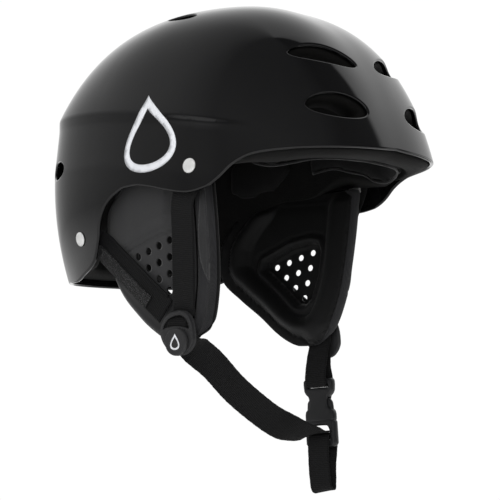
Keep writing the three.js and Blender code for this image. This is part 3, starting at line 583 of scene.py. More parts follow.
def thick_sheet(name, outline, holes, inner, outer_map, inner_map, material, lines=(), bull=5,
        round_edge=1.0, edge_slot=None, more=()):
    """Closed body between two maps of one flat triangulation, with rounded edges all round.

    Each map takes the flat points and gives places and outward normals.
    """
    flat, faces, rings = triangulate(outline, holes, inner, lines)
    used = np.unique(faces)
    renumber = -np.ones(len(flat), int)
    renumber[used] = np.arange(len(used))
    faces, flat = renumber[faces], flat[used]
    rings = [[renumber[i] for i in ring] for ring in rings]
    top, top_normal = outer_map(flat)
    low, low_normal = inner_map(flat)
    n = len(flat)
    points, normals = [top, low], [] if top_normal is None else [top_normal, low_normal]
    all_faces = [tuple(f) for f in faces] + [tuple(f[::-1] + n) for f in faces]
    slots = [0] * len(all_faces)
    count = 2 * n
    for k, ring in enumerate(rings):
        loop = flat[ring]
        area = np.sum(loop[:, 0] * np.roll(loop[:, 1], -1) - loop[:, 1] * np.roll(loop[:, 0], -1))
        away = (1 if area > 0 else -1) * (1 if k == 0 else -1)
        o, i = top[ring], low[ring]
        along = unit(np.roll(o, -1, 0) - np.roll(o, 1, 0))
        half = (o - i) / 2
        bulge = unit(np.cross(along, unit(half))) * away
        reach = np.linalg.norm(half, axis=1, keepdims=True) * round_edge
        previous = list(ring)
        for step in range(1, bull + 1):
            phi = math.pi * step / bull
            if step == bull:
                current = [r + n for r in ring]
            else:
                points.append((o + i) / 2 + math.cos(phi) * half + math.sin(phi) * bulge * reach)
                if normals:
                    normals.append(math.cos(phi) * unit(half) + math.sin(phi) * bulge)
                current = list(range(count, count + len(ring)))
                count += len(ring)
            for j in range(len(ring)):
                q = (j + 1) % len(ring)
                quad = (previous[j], current[j], current[q], previous[q])
                all_faces.append(quad if away > 0 else quad[::-1])
                slots.append(0 if edge_slot is None else edge_slot)
            previous = current
    sheet = make(name, np.vstack(points), all_faces, material, np.vstack(normals) if normals else None,
        more, slots)
    return sheet if normals else face_out(sheet)


def vent_ring(vent, side, grow, count=72):
    """Ellipse round a vent on the dome, as angles and heights."""
    angle, z, along, across, tilt = vent
    at, _, level, up = dome_frame(angle, z, side)
    turn = math.radians(tilt) * side
    out = []
    for k in range(count):
        t = 2 * math.pi * k / count
        u, v = (along + grow) * math.cos(t), (across + grow) * math.sin(t)
        x = u * math.cos(turn) - v * math.sin(turn)
        y = u * math.sin(turn) + v * math.cos(turn)
        p = at + x * level + y * up
        out.append(drop_on_dome(p, np.cross(level, up)))
    return np.array(out)


def drop_on_dome(p, normal):
    """Angle and height where a line through p along a normal meets the dome."""
    low, high = -30.0, 14.0
    for _ in range(26):
        middle = (low + high) / 2
        q = p + middle * normal
        angle = math.atan2(q[0], -(q[1] - DOME["centre_y"]))
        z = min(q[2], DOME["top_z"])
        reach = math.hypot(q[0], q[1] - DOME["centre_y"])
        if reach > raw_radius(np.float64(angle), np.float64(z), True) or q[2] > DOME["top_z"]:
            high = middle
        else:
            low = middle
    q = p + low * normal
    return math.atan2(q[0], -(q[1] - DOME["centre_y"])), q[2]


def rivet_ring(rivet, side, radius, count=24):
    at, normal, level, up = dome_frame(*rivet, side)
    turns = [2 * math.pi * k / count for k in range(count)]
    return np.array([drop_on_dome(at + radius * (math.cos(t) * level + math.sin(t) * up), normal)
        for t in turns])


shell_rim = curve_through(SHELL_RIM)
liner_outer_rim = curve_through(LINER_OUTER_RIM)
liner_inner_rim = curve_through(LINER_INNER_RIM)
brow_edge = curve_through(BROW_PAD_EDGE)


def by_degrees(curve):
    return lambda angle: curve(np.abs(np.degrees(np.arctan2(np.sin(angle), np.cos(angle)))))


def rim_angles(rim, spacing):
    """Angles spaced evenly along a rim, so that its steep parts are covered too."""
    fine = np.linspace(-math.pi, math.pi, 2401)
    at = dome_point(fine, by_degrees(rim)(fine))[0]
    length = np.concatenate([[0], np.cumsum(np.linalg.norm(np.diff(at, axis=0), axis=1))])
    count = int(length[-1] / spacing)
    return np.interp(np.arange(count) * length[-1] / count, length, fine)


def dome_grid(rim, spacing):
    """Points spread over the dome above a rim, in rings round the pole."""
    grid = []
    for rho in np.arange(1.68, 0.0, -spacing / DISC_MM):
        z = float(rho_to_height(rho))
        radius = float(np.mean(dome_radius(np.linspace(-3, 3, 24), z)))
        count = max(int(2 * math.pi * radius / spacing), 6)
        offset = (len(grid) % 2) * math.pi / count
        angles = -math.pi + 2 * math.pi * np.arange(count) / count + offset
        keep = z > by_degrees(rim)(angles) + 1.2
        grid.append(np.stack([angles[keep], np.full(keep.sum(), z)], -1))
    return np.vstack([*grid, [(0.0, DOME["top_z"])]])


def ledge_lines(angles, offsets, rim):
    """Runs of points that follow the ledge, above and below it."""
    rows = []
    for offset in offsets:
        z = ledge_z(angles) + offset
        rows.append(np.stack([angles, z], -1)[z > by_degrees(rim)(angles) + 1.2])
    return rows


LEDGE_ROWS = (-12, -9, -6.6, -4.6, -3, -1.6, -0.8, 0, 0.8, 1.6, 3, 5, 8)


def dome_sheet(name, rim, inner_rim, depth, wall, spacing, with_band, vents, holes, material, vent_round,
        **options):
    """Shell or liner: the dome above a rim, with its vents."""
    angles = rim_angles(rim, spacing)
    outline = disc(angles, by_degrees(rim)(angles))
    rings, guards = [], []
    for side in (1, -1):
        for vent in vents:
            rings.append(disc(*vent_ring(vent, side, vent_round).T))
            guards += [disc(*vent_ring(vent, side, vent_round + k).T) for k in (1.0, 2.6)]
        for hole in holes:
            rings.append(disc(*rivet_ring(hole, side, 2.6 + vent_round * 0.3, 18).T))
    level = rim_angles(curve_through([(0, 90), (180, 90)]), spacing * 0.8)
    rows = ledge_lines(level, LEDGE_ROWS, rim) if with_band else []
    ledge = disc(*np.vstack(rows).T) if rows else np.empty((0, 2))
    unit_gap = spacing / DISC_MM
    grid = clear_of(disc(*dome_grid(rim, spacing).T), ledge, unit_gap * 0.55)
    guard = np.vstack(guards)
    inner = clear_of(np.vstack([grid, ledge]), np.vstack([guard, *rings, outline]), unit_gap * 0.5)
    inner = np.vstack([inner, guard])
    for ring in rings:
        centre = ring.mean(0)
        inner = inner[~inside(inner, centre + (ring - centre) * 1.03)]
    inner = inner[inside(inner, outline * (1 - 1.5 / 300))]
    rim_at, inner_rim_at = by_degrees(rim), by_degrees(inner_rim)

    def outer_map(p):
        angle, z = from_disc(p)
        return dome_point(angle, z, depth, with_band)

    def inner_map(p):
        angle, z = from_disc(p)
        shift = inner_rim_at(angle) - rim_at(angle)
        z = z + shift * (1 - smooth((z - rim_at(angle)) / 18))
        at, normal = dome_point(angle, z, depth + wall, with_band)
        return at, -normal
    return thick_sheet(name, outline, rings, inner, outer_map, inner_map, material, **options)


# ---------------------------------------------------------------- shell
shell = dome_sheet("shell_skin", shell_rim, shell_rim, 0.0, SHELL_WALL, 3.4, True, VENTS,
    (FRONT_RIVET, REAR_RIVET), GLOSS, 1.5)
place(shell, "helmet", "gloss_shell", "shell")


# ---------------------------------------------------------------- liner
LINER_OUT = SHELL_WALL + GAP + 0.6
# The rounded edges take the lighter edge foam, whose extra lightness is painted light from below.
liner = dome_sheet("liner_foam", liner_outer_rim, liner_inner_rim, LINER_OUT, LINER_WALL - 0.2, 5.0, False,
    VENTS, (), FOAM, 0.5, bull=7, round_edge=0.15, edge_slot=1, more=(EDGE_FOAM_PAINTED_LIGHT,))
place(liner, "helmet", "foam", "liner")


# ---------------------------------------------------------------- pads
def inflate(obj, voxel=4.5, cap=5.0, pressure=4.0):
    """Swells a closed pad as stuffed cloth, with no point moved further than the cap."""
    remesh = obj.modifiers.new("remesh", "REMESH")
    remesh.mode = "VOXEL"
    remesh.voxel_size = voxel * MM
    apply_modifiers(obj)
    before = np.array([v.co for v in obj.data.vertices])
    cloth = obj.modifiers.new("cloth", "CLOTH")
    cloth.settings.use_pressure = True
    cloth.settings.uniform_pressure_force = pressure
    cloth.settings.effector_weights.gravity = 0
    cloth.settings.quality = 5
    scene = bpy.context.scene
    for step in range(1, 21):
        scene.frame_set(step)
    apply_modifiers(obj)
    scene.frame_set(1)
    after = np.array([v.co for v in obj.data.vertices])
    move = after - before
    length = np.linalg.norm(move, axis=1, keepdims=True)
    after = before + move * np.minimum(1, cap * MM / np.maximum(length, 1e-9))
    obj.data.vertices.foreach_set("co", after.ravel())
    obj.data.update()
    obj.data.polygons.foreach_set("use_smooth", [True] * len(obj.data.polygons))
    return subdivide(obj)


def leaf_loop(from_deg, to_deg, low, high, rows=40):
    """Closed outline of a pad between two angles, as angles and heights."""
    angles = np.linspace(from_deg, to_deg, rows)
    under = [(a, float(low(a))) for a in angles]
    over = [(a, float(high(a))) for a in angles[::-1]]
    return np.array(under + over)


def resampled(loop, spacing, scale=(1.0, 1.0)):
    """The loop with its points spaced evenly."""
    closed = np.vstack([loop, loop[:1]]) * scale
    length = np.concatenate([[0], np.cumsum(np.linalg.norm(np.diff(closed, axis=0), axis=1))])
    at = np.arange(int(length[-1] / spacing)) * length[-1] / int(length[-1] / spacing)
    return np.stack([np.interp(at, length, closed[:, k]) for k in (0, 1)], 1)


def hex_grid(loop, spacing):
    (x0, y0), (x1, y1) = loop.min(0), loop.max(0)
    rows = []
    for j, y in enumerate(np.arange(y0, y1, spacing * 0.866)):
        xs = np.arange(x0 + (j % 2) * spacing / 2, x1, spacing)
        rows.append(np.stack([xs, np.full(len(xs), y)], 1))
    grid = np.vstack(rows)
    return grid[inside(grid, loop)]


def signed_distance(points, loop, closed=True):
    """Distance to a polyline; positive inside it when it is closed."""
    a = loop
    b = np.roll(loop, -1, 0)
    if not closed:
        a, b = a[:-1], b[:-1]
    best = np.full(len(points), np.inf)
    for p, q in zip(a, b):
        d = q - p
        t = np.clip(((points - p) @ d) / max(d @ d, 1e-12), 0, 1)
        best = np.minimum(best, np.linalg.norm(points - p - t[:, None] * d, axis=1))
    return np.where(inside(points, loop), best, -best) if closed else best


ARC = 1.75  # millimetres along the liner's inner face for each degree
PAD_SEAT = SHELL_WALL + LINER_WALL + 2.4
PAD_EDGE = 1.6
PAD_ROUND = 9
PAD_POINTS = 3.0


def on_seat(angle_deg, z, height):
    """Places above the face that the pads lie on."""
    return dome_point(np.radians(angle_deg), z, PAD_SEAT + height, False, 6)[0]


def dome_pad(name, loop_deg, side=1, quilt=None):
    """Pad on the liner: full in the middle and rounded down to a sewn edge."""
    loop = resampled(np.array(loop_deg, float), PAD_POINTS, (ARC, 1))
    grid = clear_of(hex_grid(loop, PAD_POINTS), loop, PAD_POINTS * 0.5)

    def profile(p):
        d = np.clip(signed_distance(p, loop), 0, None)
        rise = np.sqrt(np.clip(1 - (1 - np.clip(d / PAD_ROUND, 0, 1)) ** 2, 0, 1))
        height = PAD_EDGE + (PAD_WALL - PAD_EDGE) * rise
        return height + (quilt(p[:, 1], d) if quilt else 0)

    def at(height):
        return lambda p: (on_seat(side * p[:, 0] / ARC, p[:, 1], height(p)), None)
    return thick_sheet(name, loop, [], grid, at(profile), at(lambda p: 0), FABRIC, bull=4, round_edge=0.8)


def tube(name, path, radius, material, sides=10):
    """Round cord along an open path of points."""
    along = unit(np.gradient(path, axis=0))
    first = unit(np.cross(along, np.array([0.31, 0.17, 0.93])))
    second = np.cross(along, first)
    turns = np.linspace(0, 2 * math.pi, sides, endpoint=False)[None, :, None]
    rings = path[:, None] + radius * (np.cos(turns) * first[:, None] + np.sin(turns) * second[:, None])
    faces = [(i + k, i + (k + 1) % sides, i + sides + (k + 1) % sides, i + sides + k)
        for i in range(0, (len(path) - 1) * sides, sides) for k in range(sides)]
    faces += [tuple(range(sides))[::-1], tuple((len(path) - 1) * sides + k for k in range(sides))]
    return face_out(make(name, rings.reshape(-1, 3), faces, material))


def brow_low(a):
    return brow_edge(abs(a)) + 0.6


def brow_high(a):
    return 104.5 - 9 * smooth((abs(a) - 72) / 16)


brow_loop = leaf_loop(-87, 87, brow_low, brow_high, 90)
brow = dome_pad("brow_pad_cushion", brow_loop)
place(inflate(brow, 4.0, 2.0, 2.0), "helmet", "pad_fabric", "brow_pad")
line_at = np.linspace(-84, 84, 130)
line = on_seat(line_at, brow_low(line_at) + 0.8, 4.2)
place(tube("brow_pad_piping", line, 0.8, PIPING), "helmet", "pad_fabric")


def leaf_half(a, from_deg, to_deg, half):
    t = (a - from_deg) / (to_deg - from_deg)
    return half * np.sqrt(np.clip(1 - np.abs(2 * t - 1) ** 2.6, 0.0, 1))


for side_name, side in SIDES:
    loop = leaf_loop(97, 128, lambda a: 76 - leaf_half(a, 96.5, 128.5, 16) - 0.5 * (a - 113),
        lambda a: 76 + leaf_half(a, 96.5, 128.5, 21), 30)
    pad = dome_pad(f"side_pad_cushion_{side_name}", loop, side)
    place(inflate(pad, 4.0, 2.5, 3.0), "helmet", "pad_fabric", f"side_pad_{side_name}")

rear_loop = leaf_loop(136, 224, lambda a: 46 - leaf_half(a, 135.5, 224.5, 39),
    lambda a: 62 + leaf_half(a, 135.5, 224.5, 34), 60)
rear = dome_pad("rear_pad_cushion", rear_loop, quilt=lambda z, d: -3.2 * np.exp(-((z - 54) / 2.4) ** 2) *
    smooth(d / 6))
place(inflate(rear, 4.5, 3.0, 3.0), "helmet", "pad_fabric", "rear_pad")


CROWN_PROFILE = [(0.0, 163.6), (20, 163.6), (37, 163.4), (39.5, 161.5), (41, 159.5), (40.5, 157.8),
    (38, 156.4), (30, 156.0), (26.5, 156.3), (25.0, 157.0), (23.5, 156.3), (20, 156.0), (10, 156.0),
    (0.0, 156.0)]


def lathe(name, profile, at, axis, material, sides=48):
    """Turned piece: profile points give radius and distance along the axis."""
    axis = unit(axis)
    first = unit(np.cross(axis, (0.0, 0.6, 0.8) if abs(axis[0]) > 0.5 else (1.0, 0.0, 0.0)))
    second = np.cross(axis, first)
    turns = np.linspace(0, 2 * math.pi, sides, endpoint=False)
    points, rings = [], []
    for radius, height in profile:
        centre = np.asarray(at) + axis * height
        if radius < 1e-6:
            rings.append([len(points)] * sides)
            points.append(centre)
            continue
        rings.append(list(range(len(points), len(points) + sides)))
        points += list(centre + radius * (np.cos(turns)[:, None] * first + np.sin(turns)[:, None] * second))
    faces = []
    for low_ring, high_ring in zip(rings, rings[1:]):
        for k in range(sides):
            j = (k + 1) % sides
            face = [low_ring[k], low_ring[j], high_ring[j], high_ring[k]]
            faces.append([v for i, v in enumerate(face) if v not in face[:i]])
    return face_out(make(name, points, faces, material))


crown = lathe("crown_pad_cushion", CROWN_PROFILE, (0, DOME["centre_y"], 0), (0, 0, 1), FABRIC, 64)
place(subdivide(crown), "helmet", "pad_fabric", "crown_pad")


# ---------------------------------------------------------------- ear flaps
flap_front = curve_through(FLAP_FRONT)
flap_rear = curve_through(FLAP_REAR)
FLAP_VISUAL_TOP = 61.0
FLAP_LOW = FLAP_FRONT[0][0]
RIDGE = np.array([(-22.5, 20), (-24.5, 15.5), (-24, -3), (-19.5, -21.5), (-15.5, -25.8), (-9.5, -25),
    (8, -9.5), (22.8, 2.3), (22.5, 7.5), (2, 17.5), (-16, 21)])
RAISED = np.array([(-19.5, 70), (-19.4, 49), (-18.1, 38.8), (-16.2, 31), (-12, 27), (-6.8, 25.4),
    (2.4, 22.8), (12.1, 19.4), (22.1, 14.9), (40, 6), (62, 0), (72, 30), (56.3, 38.6), (41, 46.5), (29, 54),
    (20, 70)])
CREASE = np.array([(-24, 22.2), (-20, 21.9), (-7.9, 20.1), (3.4, 16.8), (14.7, 13.1), (26.8, 8.7), (34, 5)])
REAR_SEAM = np.array([(24, 57), (29, 54), (41, 46.5), (56.3, 38.6)])
PATCH = np.array([(-49, 52), (-46.2, 40), (-44.3, 30), (-42.2, 20), (-41.3, 9.7), (-41.9, 0), (-43.9, -8),
    (-46.4, -13.6), (-49.2, -17.5), (-50.6, -10), (-51, 10), (-51.4, 30), (-51.6, 52)])


def flap_x(y, z, depth):
    curl = 0.008 * np.maximum(y - 15, 0) ** 2
    return 82.4 - 0.0554 * y + 0.1434 * z - curl - depth


def bolster_line(z):
    return np.minimum(flap_front(z) + BOLSTER, (flap_front(z) + flap_rear(z)) / 2)


def flap_loop(front, rear, top, inset=0.0):
    """Outline of a part of the flap between two curves of y over z."""
    low_z, high_z = FLAP_LOW + inset, top
    heights = low_z + (high_z - low_z) * np.linspace(0, 1, 160) ** 1.3
    forward = np.stack([front(heights) + inset, heights], 1)
    back = np.stack([rear(heights) - inset, heights], 1)[::-1]
    return resampled(np.vstack([forward, back]), 1.5)


FULL = flap_loop(flap_front, flap_rear, 75.0)
EAR_OPENING = resampled(RIDGE, 1.4)


def hole_rings(radius, count=20):
    rings = []
    for i in range(HOLE["count"]):
        for j in range(HOLE["count"] - i):
            y = HOLE["y"] + i * HOLE["rear"][0] + j * HOLE["down"][0]
            z = HOLE["z"] + i * HOLE["rear"][1] + j * HOLE["down"][1]
            turns = np.linspace(0, 2 * math.pi, count, endpoint=False)
            rings.append(np.stack([y + radius * np.cos(turns), z + radius * np.sin(turns)], 1))
    return rings


def flap_sheet(name, loop, rings, guards, face_depth, back_depth, side, material, spacing=1.6, **options):
    """Piece of a flap between two depths, each a function of y and z."""
    grid = clear_of(hex_grid(loop, spacing), np.vstack([loop, *rings, *guards]), spacing * 0.55)
    for ring in rings:
        grid = grid[~inside(grid, ring)]
    grid = np.vstack([grid, *guards])

    def at(depth):
        def mapped(p):
            y, z = p[:, 0], p[:, 1]
            x = flap_x(y, z, depth(y, z))
            return np.stack([side * x, y, z], 1), None
        return mapped
    return thick_sheet(name, loop, rings, grid, at(face_depth), at(back_depth), material, **options)


def panel_back(y, z):
    """Back of the panel, let in so that only a thin web is left where the holes are."""
    window = signed_distance(np.stack([y, z], 1), RIDGE)
    return 1.3 - 1.2 * smooth((window - 0.6) / 1.2)


def panel_face(y, z):
    """Outer face: a raised pillow above, a crease below it and a sewn line near the rear edge."""
    p = np.stack([y, z], 1)
    raised = smooth(signed_distance(p, RAISED) / 5.5 + 0.15)
    crease = signed_distance(p, CREASE, False)
    seam = signed_distance(p, REAR_SEAM, False)
    edge = signed_distance(p, FULL)
    border = 0.9 * np.exp(-((edge - 3.0) / 1.6) ** 2)
    lift = 2.5 * raised - 1.2 * np.exp(-(crease / 0.9) ** 2) + 0.6 * np.exp(-((crease - 1.8) / 1.2) ** 2)
    lift = lift - 0.7 * np.exp(-(seam / 0.9) ** 2) + border * (y > 0)
    return -PANEL_WALL / 2 - 0.1 - lift


def cushion_face(y, z):
    """Inner face: flat flange, padded border roll, plateau and a raised frame round the ear window."""
    p = np.stack([y, z], 1)
    edge = np.clip(signed_distance(p, FULL), 0, None)
    forward = 1 - smooth((y - flap_front(z) - 1) / 24)
    flange_width = 1.4 + 6.4 * (1 - forward)
    flange = 3.3 + 7.7 * (1 - smooth((y - flap_front(z) - 2) / 20)) * smooth((z + 56) / 16)
    across = np.clip((edge - flange_width) / 15.5, 0, 1)
    roll = np.sin(math.pi * across) ** 0.75
    plateau = 6.4
    base = flange + (plateau - flange) * smooth((edge - flange_width) / 14)
    crest = base + (13.0 - base) * roll
    groove = 1.1 * np.exp(-((edge - flange_width + 0.2) / 1.0) ** 2)
    window = -signed_distance(p, RIDGE)
    ridge = 6.4 + 2.6 * np.exp(-((window - 4.4) / 2.4) ** 2)
    depth = np.maximum(crest - groove, np.where(edge > flange_width, ridge, 0))
    depth = depth - 0.7 * np.exp(-((window - 8.4) / 1.1) ** 2)
    web = smooth((window + 1.2) / 5.2)
    depth = 3.3 + (depth - 3.3) * web
    front_edge = smooth((-26 - y) / 14)
    fade = smooth((z - 44 - 8 * front_edge) / 12)
    return depth + (np.minimum(depth, 5.4 + 2 * front_edge) - depth) * fade


def cushion_back(y, z):
    forward = 1 - smooth((y - flap_front(z) - 12) / 3)
    return 1.5 + 7.0 * forward * smooth((z + 56) / 8)


def bolster_face(y, z):
    """Outer face of the padded edge, with a sewn seam and a lens of pile fabric let into it."""
    p = np.stack([y, z], 1)
    patch = signed_distance(p, PATCH)
    seam = np.abs(y - (flap_front(z) + 3.6))
    low = 0.8 * smooth((-44 - z) / 8)
    inner = smooth((y - flap_front(z) - 9) / 5)
    return (-1.7 + 1.6 * inner + low - 0.5 * smooth(patch / 1.2) + 0.6 * np.exp(-(patch / 0.8) ** 2) + 0.75
        * np.exp(-(seam / 0.55) ** 2))


def bolster_back(y, z):
    """Back of the padded edge, kept behind the cushion's flange."""
    inward = smooth((y - flap_front(z) - 2) / 20)
    return 2.0 + 7.6 * (1 - 0.8 * inward) * smooth((z + 56) / 16)


def second_skin(obj, material, chosen):
    """Gives another material to the faces whose middle is chosen."""
    obj.data.materials.append(material)
    for face in obj.data.polygons:
        if chosen(*(face.center / MM)):
            face.material_index = 1


def in_patch(y, z):
    return signed_distance(np.array([[y, z]]), PATCH)[0] > 0.1


for side_name, side in SIDES:
    hinge = ("helmet", f"flap_{side_name}", (side * 88, 0, 66), (side * 88, 0, 45))
    loop = flap_loop(lambda z: bolster_line(z) - 1.5, flap_rear, FLAP_VISUAL_TOP, 0.9)
    panel = flap_sheet(f"ear_panel_skin_{side_name}", loop, hole_rings(HOLE["radius"]),
        hole_rings(HOLE["radius"] + 0.9), panel_face, panel_back, side, MOULDED, bull=5, round_edge=0.5)
    second_skin(panel, CUSHION_SKIN, lambda x, y, z: side * x < flap_x(y, z, -0.4))
    place_blend(panel, *hinge, "moulded_fabric", f"ear_panel_{side_name}")
    loop = flap_loop(flap_front, flap_rear, FLAP_VISUAL_TOP, 0.6)
    cushion = flap_sheet(f"ear_cushion_pad_{side_name}", loop, [EAR_OPENING], [], cushion_face,
        cushion_back, side, CUSHION_SKIN, bull=5, round_edge=0.4)
    place_blend(cushion, *hinge, "pad_fabric", f"ear_cushion_{side_name}")
    loop = flap_loop(flap_front, bolster_line, FLAP_VISUAL_TOP, 1.3)
    bolster = flap_sheet(f"ear_bolster_pad_{side_name}", loop, [], [], bolster_face, bolster_back, side,
        FRONT_SKIN, 1.2, bull=8, round_edge=0.3)
    second_skin(bolster, PILE, lambda x, y, z: side * x > flap_x(y, z, 1.0) and in_patch(y, z))
    place_blend(bolster, *hinge, "pad_fabric", f"ear_bolster_{side_name}")


# ---------------------------------------------------------------- rivets
def rivet(name, where, side):
    at, normal, _, _ = dome_frame(*where, side)
    tail = -(LINING_DEPTH + WEB_THICK / 2 + 1 + 1 + 0.8)
    dome = [(RIVET_HEAD * math.cos(t), 0.75 + 1.9 * math.sin(t))
        for t in np.linspace(0, math.pi / 2, 9)[:-1]]
    profile = [(0, tail), (2.3, tail), (2.3, 0.2), (RIVET_HEAD - 0.5, 0.2), (RIVET_HEAD - 0.1, 0.35), *dome,
        (0, 2.65)]
    return lathe(name, profile, at, normal, STEEL, 40)


for side_name, side in SIDES:
    for end, where in (("front", FRONT_RIVET), ("rear", REAR_RIVET)):
        place(rivet(f"{end}_rivet_head_{side_name}", where, side), "helmet", "rivet_steel",
            f"{end}_rivet_{side_name}")
        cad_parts[f"{end}_washer_{side_name}"].data.materials[0] = STEEL


# ---------------------------------------------------------------- webbing
def webbing(name, stations, steps, width=WEB_WIDTH, thick=WEB_THICK, side=1, shift=0.0, lift=0.0,
        span=(0, 1), material=None, wander=0.12):
    """Flat strap along stations, each a place and the direction of the strap's width."""
    path = spline([s[0] for s in stations], steps)
    across = spline([s[1] for s in stations], steps)
    first, last = (int(round(k * steps)) for k in span)
    along = unit(np.gradient(path, axis=0))
    wide = unit(across - (across * along).sum(1, keepdims=True) * along)
    normal = unit(np.cross(along, wide))
    path = path + shift * wide + lift * normal
    length = np.concatenate([[0], np.cumsum(np.linalg.norm(np.diff(path, axis=0), axis=1))])
    path, wide, normal, length = (v[first:last + 1] for v in (path, wide, normal, length))
    u = np.array([-1, -0.97, -0.9, -0.82, -0.6, -0.3, 0, 0.3, 0.6, 0.82, 0.9, 0.97, 1]) * width / 2
    h = np.array([0, 0.62, 0.95, 0.86, 0.84, 0.86, 0.88, 0.86, 0.84, 0.86, 0.95, 0.62, 0]) * thick / 2
    around = [(a, b) for a, b in zip(u, h)] + [(a, -b) for a, b in list(zip(u, h))[-2:0:-1]]
    count = len(around)
    points, faces = [], []
    for k in range(len(path)):
        sway = 1 + wander * 0.1 * math.sin(length[k] * 1.31) * math.sin(length[k] * 0.57 + 1)
        for a, b in around:
            points.append(path[k] + a * sway * wide[k] + b * normal[k])
    for k in range(len(path) - 1):
        for j in range(count):
            q = (j + 1) % count
            faces.append((k * count + j, k * count + q, (k + 1) * count + q, (k + 1) * count + j))
    if first == 0:
        faces.append(tuple(range(count))[::-1])
    if last == steps:
        faces.append(tuple((len(path) - 1) * count + j for j in range(count)))
    points = np.array(points) * (side, 1, 1)
    if side < 0:
        faces = [f[::-1] for f in faces]
    obj = make(name, points, faces, material or WEBBING)
    for face in obj.data.polygons:
        face.use_smooth = len(face.vertices) == 4
    layer = obj.data.uv_layers.new(name="along")
    for loop in obj.data.loops:
        row, column = divmod(loop.vertex_index, count)
        layer.data[loop.index].uv = (around[column][0], length[row])
    bm = bmesh.new()
    bm.from_mesh(obj.data)
    if bm.calc_volume(signed=True) < 0:
        bmesh.ops.reverse_faces(bm, faces=bm.faces)
        bm.to_mesh(obj.data)
    bm.free()
    return obj


def lining(angle_deg, z, turn_deg):
    """Station of a strap that lies against the inside of the shell."""
    _, _, level, up = dome_frame(angle_deg, z)
    turn = math.radians(turn_deg)
    at, _ = dome_point(math.radians(angle_deg), z, LINING_DEPTH)
    return (at, math.cos(turn) * level + math.sin(turn) * up)


FRONT_STRAP = [lining(69.5, 73, 0), lining(71, 63.3, 0), lining(73.5, 53, 0),
    ((98.6, -36.5, 40), (0, 1, 0)), ((94.6, -33.5, 18), (0, 1, 0)), ((90.2, -30.5, -10), (0, 1, 0)),
    ((85.8, -27.2, -28), (0, 1, 0.1)), ((83.4, -25.6, -38), (0, 1, 0.15))]
SLANT = (0, -0.62, 0.78)
REAR_STRAP = [lining(136, 20, 92), lining(132, 18.8, 96), lining(128, 16.5, 104),
    ((82.8, 50, 10.8), (0, -0.42, 0.9)), ((83.4, 42, 4.6), SLANT), ((83.6, 29, -5.8), SLANT),
    ((84.4, 8, -22.2), SLANT), ((84.4, -9.5, -35.8), SLANT)]
FOLD = [(at, (0, 1, 0.12)) for at in ((84.9, -23.6, -36.5), (86.4, -23.2, -40), (87.6, -22.9, -44),
    (87.2, -22.6, -48.5), (85.6, -22.4, -51.5))]

for side_name, side in SIDES:
    flap = f"flap_{side_name}"
    strap = webbing(f"front_strap_web_{side_name}", FRONT_STRAP, 90, side=side)
    place_blend(strap, "helmet", flap, (side * 98, -36, 62), (side * 98, -36, 42), "webbing",
        f"front_strap_{side_name}")
    strap = webbing(f"rear_strap_web_{side_name}", REAR_STRAP, 96, side=side)
    bend = ("helmet", flap, (side * 84.5, 52, 11.5), (side * 84.5, 33, -2.5), "webbing")
    place_blend(strap, *bend, f"rear_strap_{side_name}")
    tape = webbing(f"rear_strap_tape_{side_name}", REAR_STRAP, 96, 9.5, 1.5, side, -4.2, -1.1, (0.36, 0.9),
        HOOK_TAPE, 0.5)
    place_blend(tape, *bend)
    binding = webbing(f"rear_strap_binding_{side_name}", REAR_STRAP, 96, 2.4, 2.2, side, 9.6, -0.3,
        (0.34, 0.97))
    place_blend(binding, *bend)
    fold = webbing(f"divider_fold_{side_name}", FOLD, 20, 17, 1.5, side)
    place(fold, flap, "webbing")


# ---------------------------------------------------------------- strap dividers and their caps
def quadratic(p0, p1, p2, count=12):
    t = np.linspace(0, 1, count, endpoint=False)[:, None]
    p0, p1, p2 = (np.array(p, float) for p in (p0, p1, p2))
    return (1 - t) ** 2 * p0 + 2 * t * (1 - t) * p1 + t * t * p2


def curved_loop(corners, count=12):
    """Closed outline of quadratic curves, each corner given with the control point after it."""
    following = corners[1:] + corners[:1]
    return np.vstack([quadratic(p0, p1, after[0], count) for (p0, p1), after in zip(corners, following)])


def plate(name, loop, holes, face, back, to_place, material, spacing=1.0, **options):
    """Flat moulding with rounded edges, drawn in its own plane."""
    loop = resampled(loop, spacing)
    rings = [resampled(h, spacing) for h in holes]
    grid = clear_of(hex_grid(loop, spacing * 1.6), np.vstack([loop, *rings]), spacing * 0.8)
    for ring in rings:
        grid = grid[~inside(grid, ring)]

    def at(depth):
        def mapped(p):
            return to_place(p, depth(p) if callable(depth) else np.full(len(p), depth)), None
        return mapped
    return thick_sheet(name, loop, rings, grid, at(face), at(back), material, **options)


def divider(name, side):
    at = (DIVIDER["y"], DIVIDER["z"])
    loop = curved_loop([((-16.4, -20), (-16, 0.4)), ((-4, 0.6), (12, 0.4)), ((14.4, -14), (12.4, -26.5)),
        ((-2, -31.4), (-14.5, -30.4))]) + at
    window = curved_loop([((-12.6, -12.5), (-1, -8.5)), ((11, -12.5), (8, -3.4)),
        ((-3.5, -3), (-11, -3.2))]) + at

    def to_place(p, depth):
        return np.stack([side * (DIVIDER["x"] + depth), p[:, 0], p[:, 1]], 1)

    def face(p):
        rim = np.clip(signed_distance(p, loop), 0, 4) / 4
        return 2.0 - 0.5 * (1 - rim) ** 2
    return plate(name, loop, [window], face, -2.0, to_place, CAP_PLASTIC, 0.9, bull=6, round_edge=0.55)


CAP_AT = np.array([DIVIDER["x"] + 2 + GAP, DIVIDER["y"] - 3, DIVIDER["z"] - DIVIDER["cap_drop"]])


def cap(name, side):
    r, t = DIVIDER["cap_radius"], DIVIDER["cap_thick"]
    profile = [(0, 0), (r - 0.5, 0), (r - 0.1, 0.3), (r, 0.8), (r, t - 1.3), (r - 0.15, t - 0.75),
        (r - 0.6, t - 0.3), (r - 1.2, t - 0.15), (r - 1.5, t - 0.25), (r * 0.6, t - 0.05), (r * 0.3, t),
        (0, t)]
    return lathe(name, profile, CAP_AT * (side, 1, 1), (side, 0, 0), CAP_PLASTIC, 64)


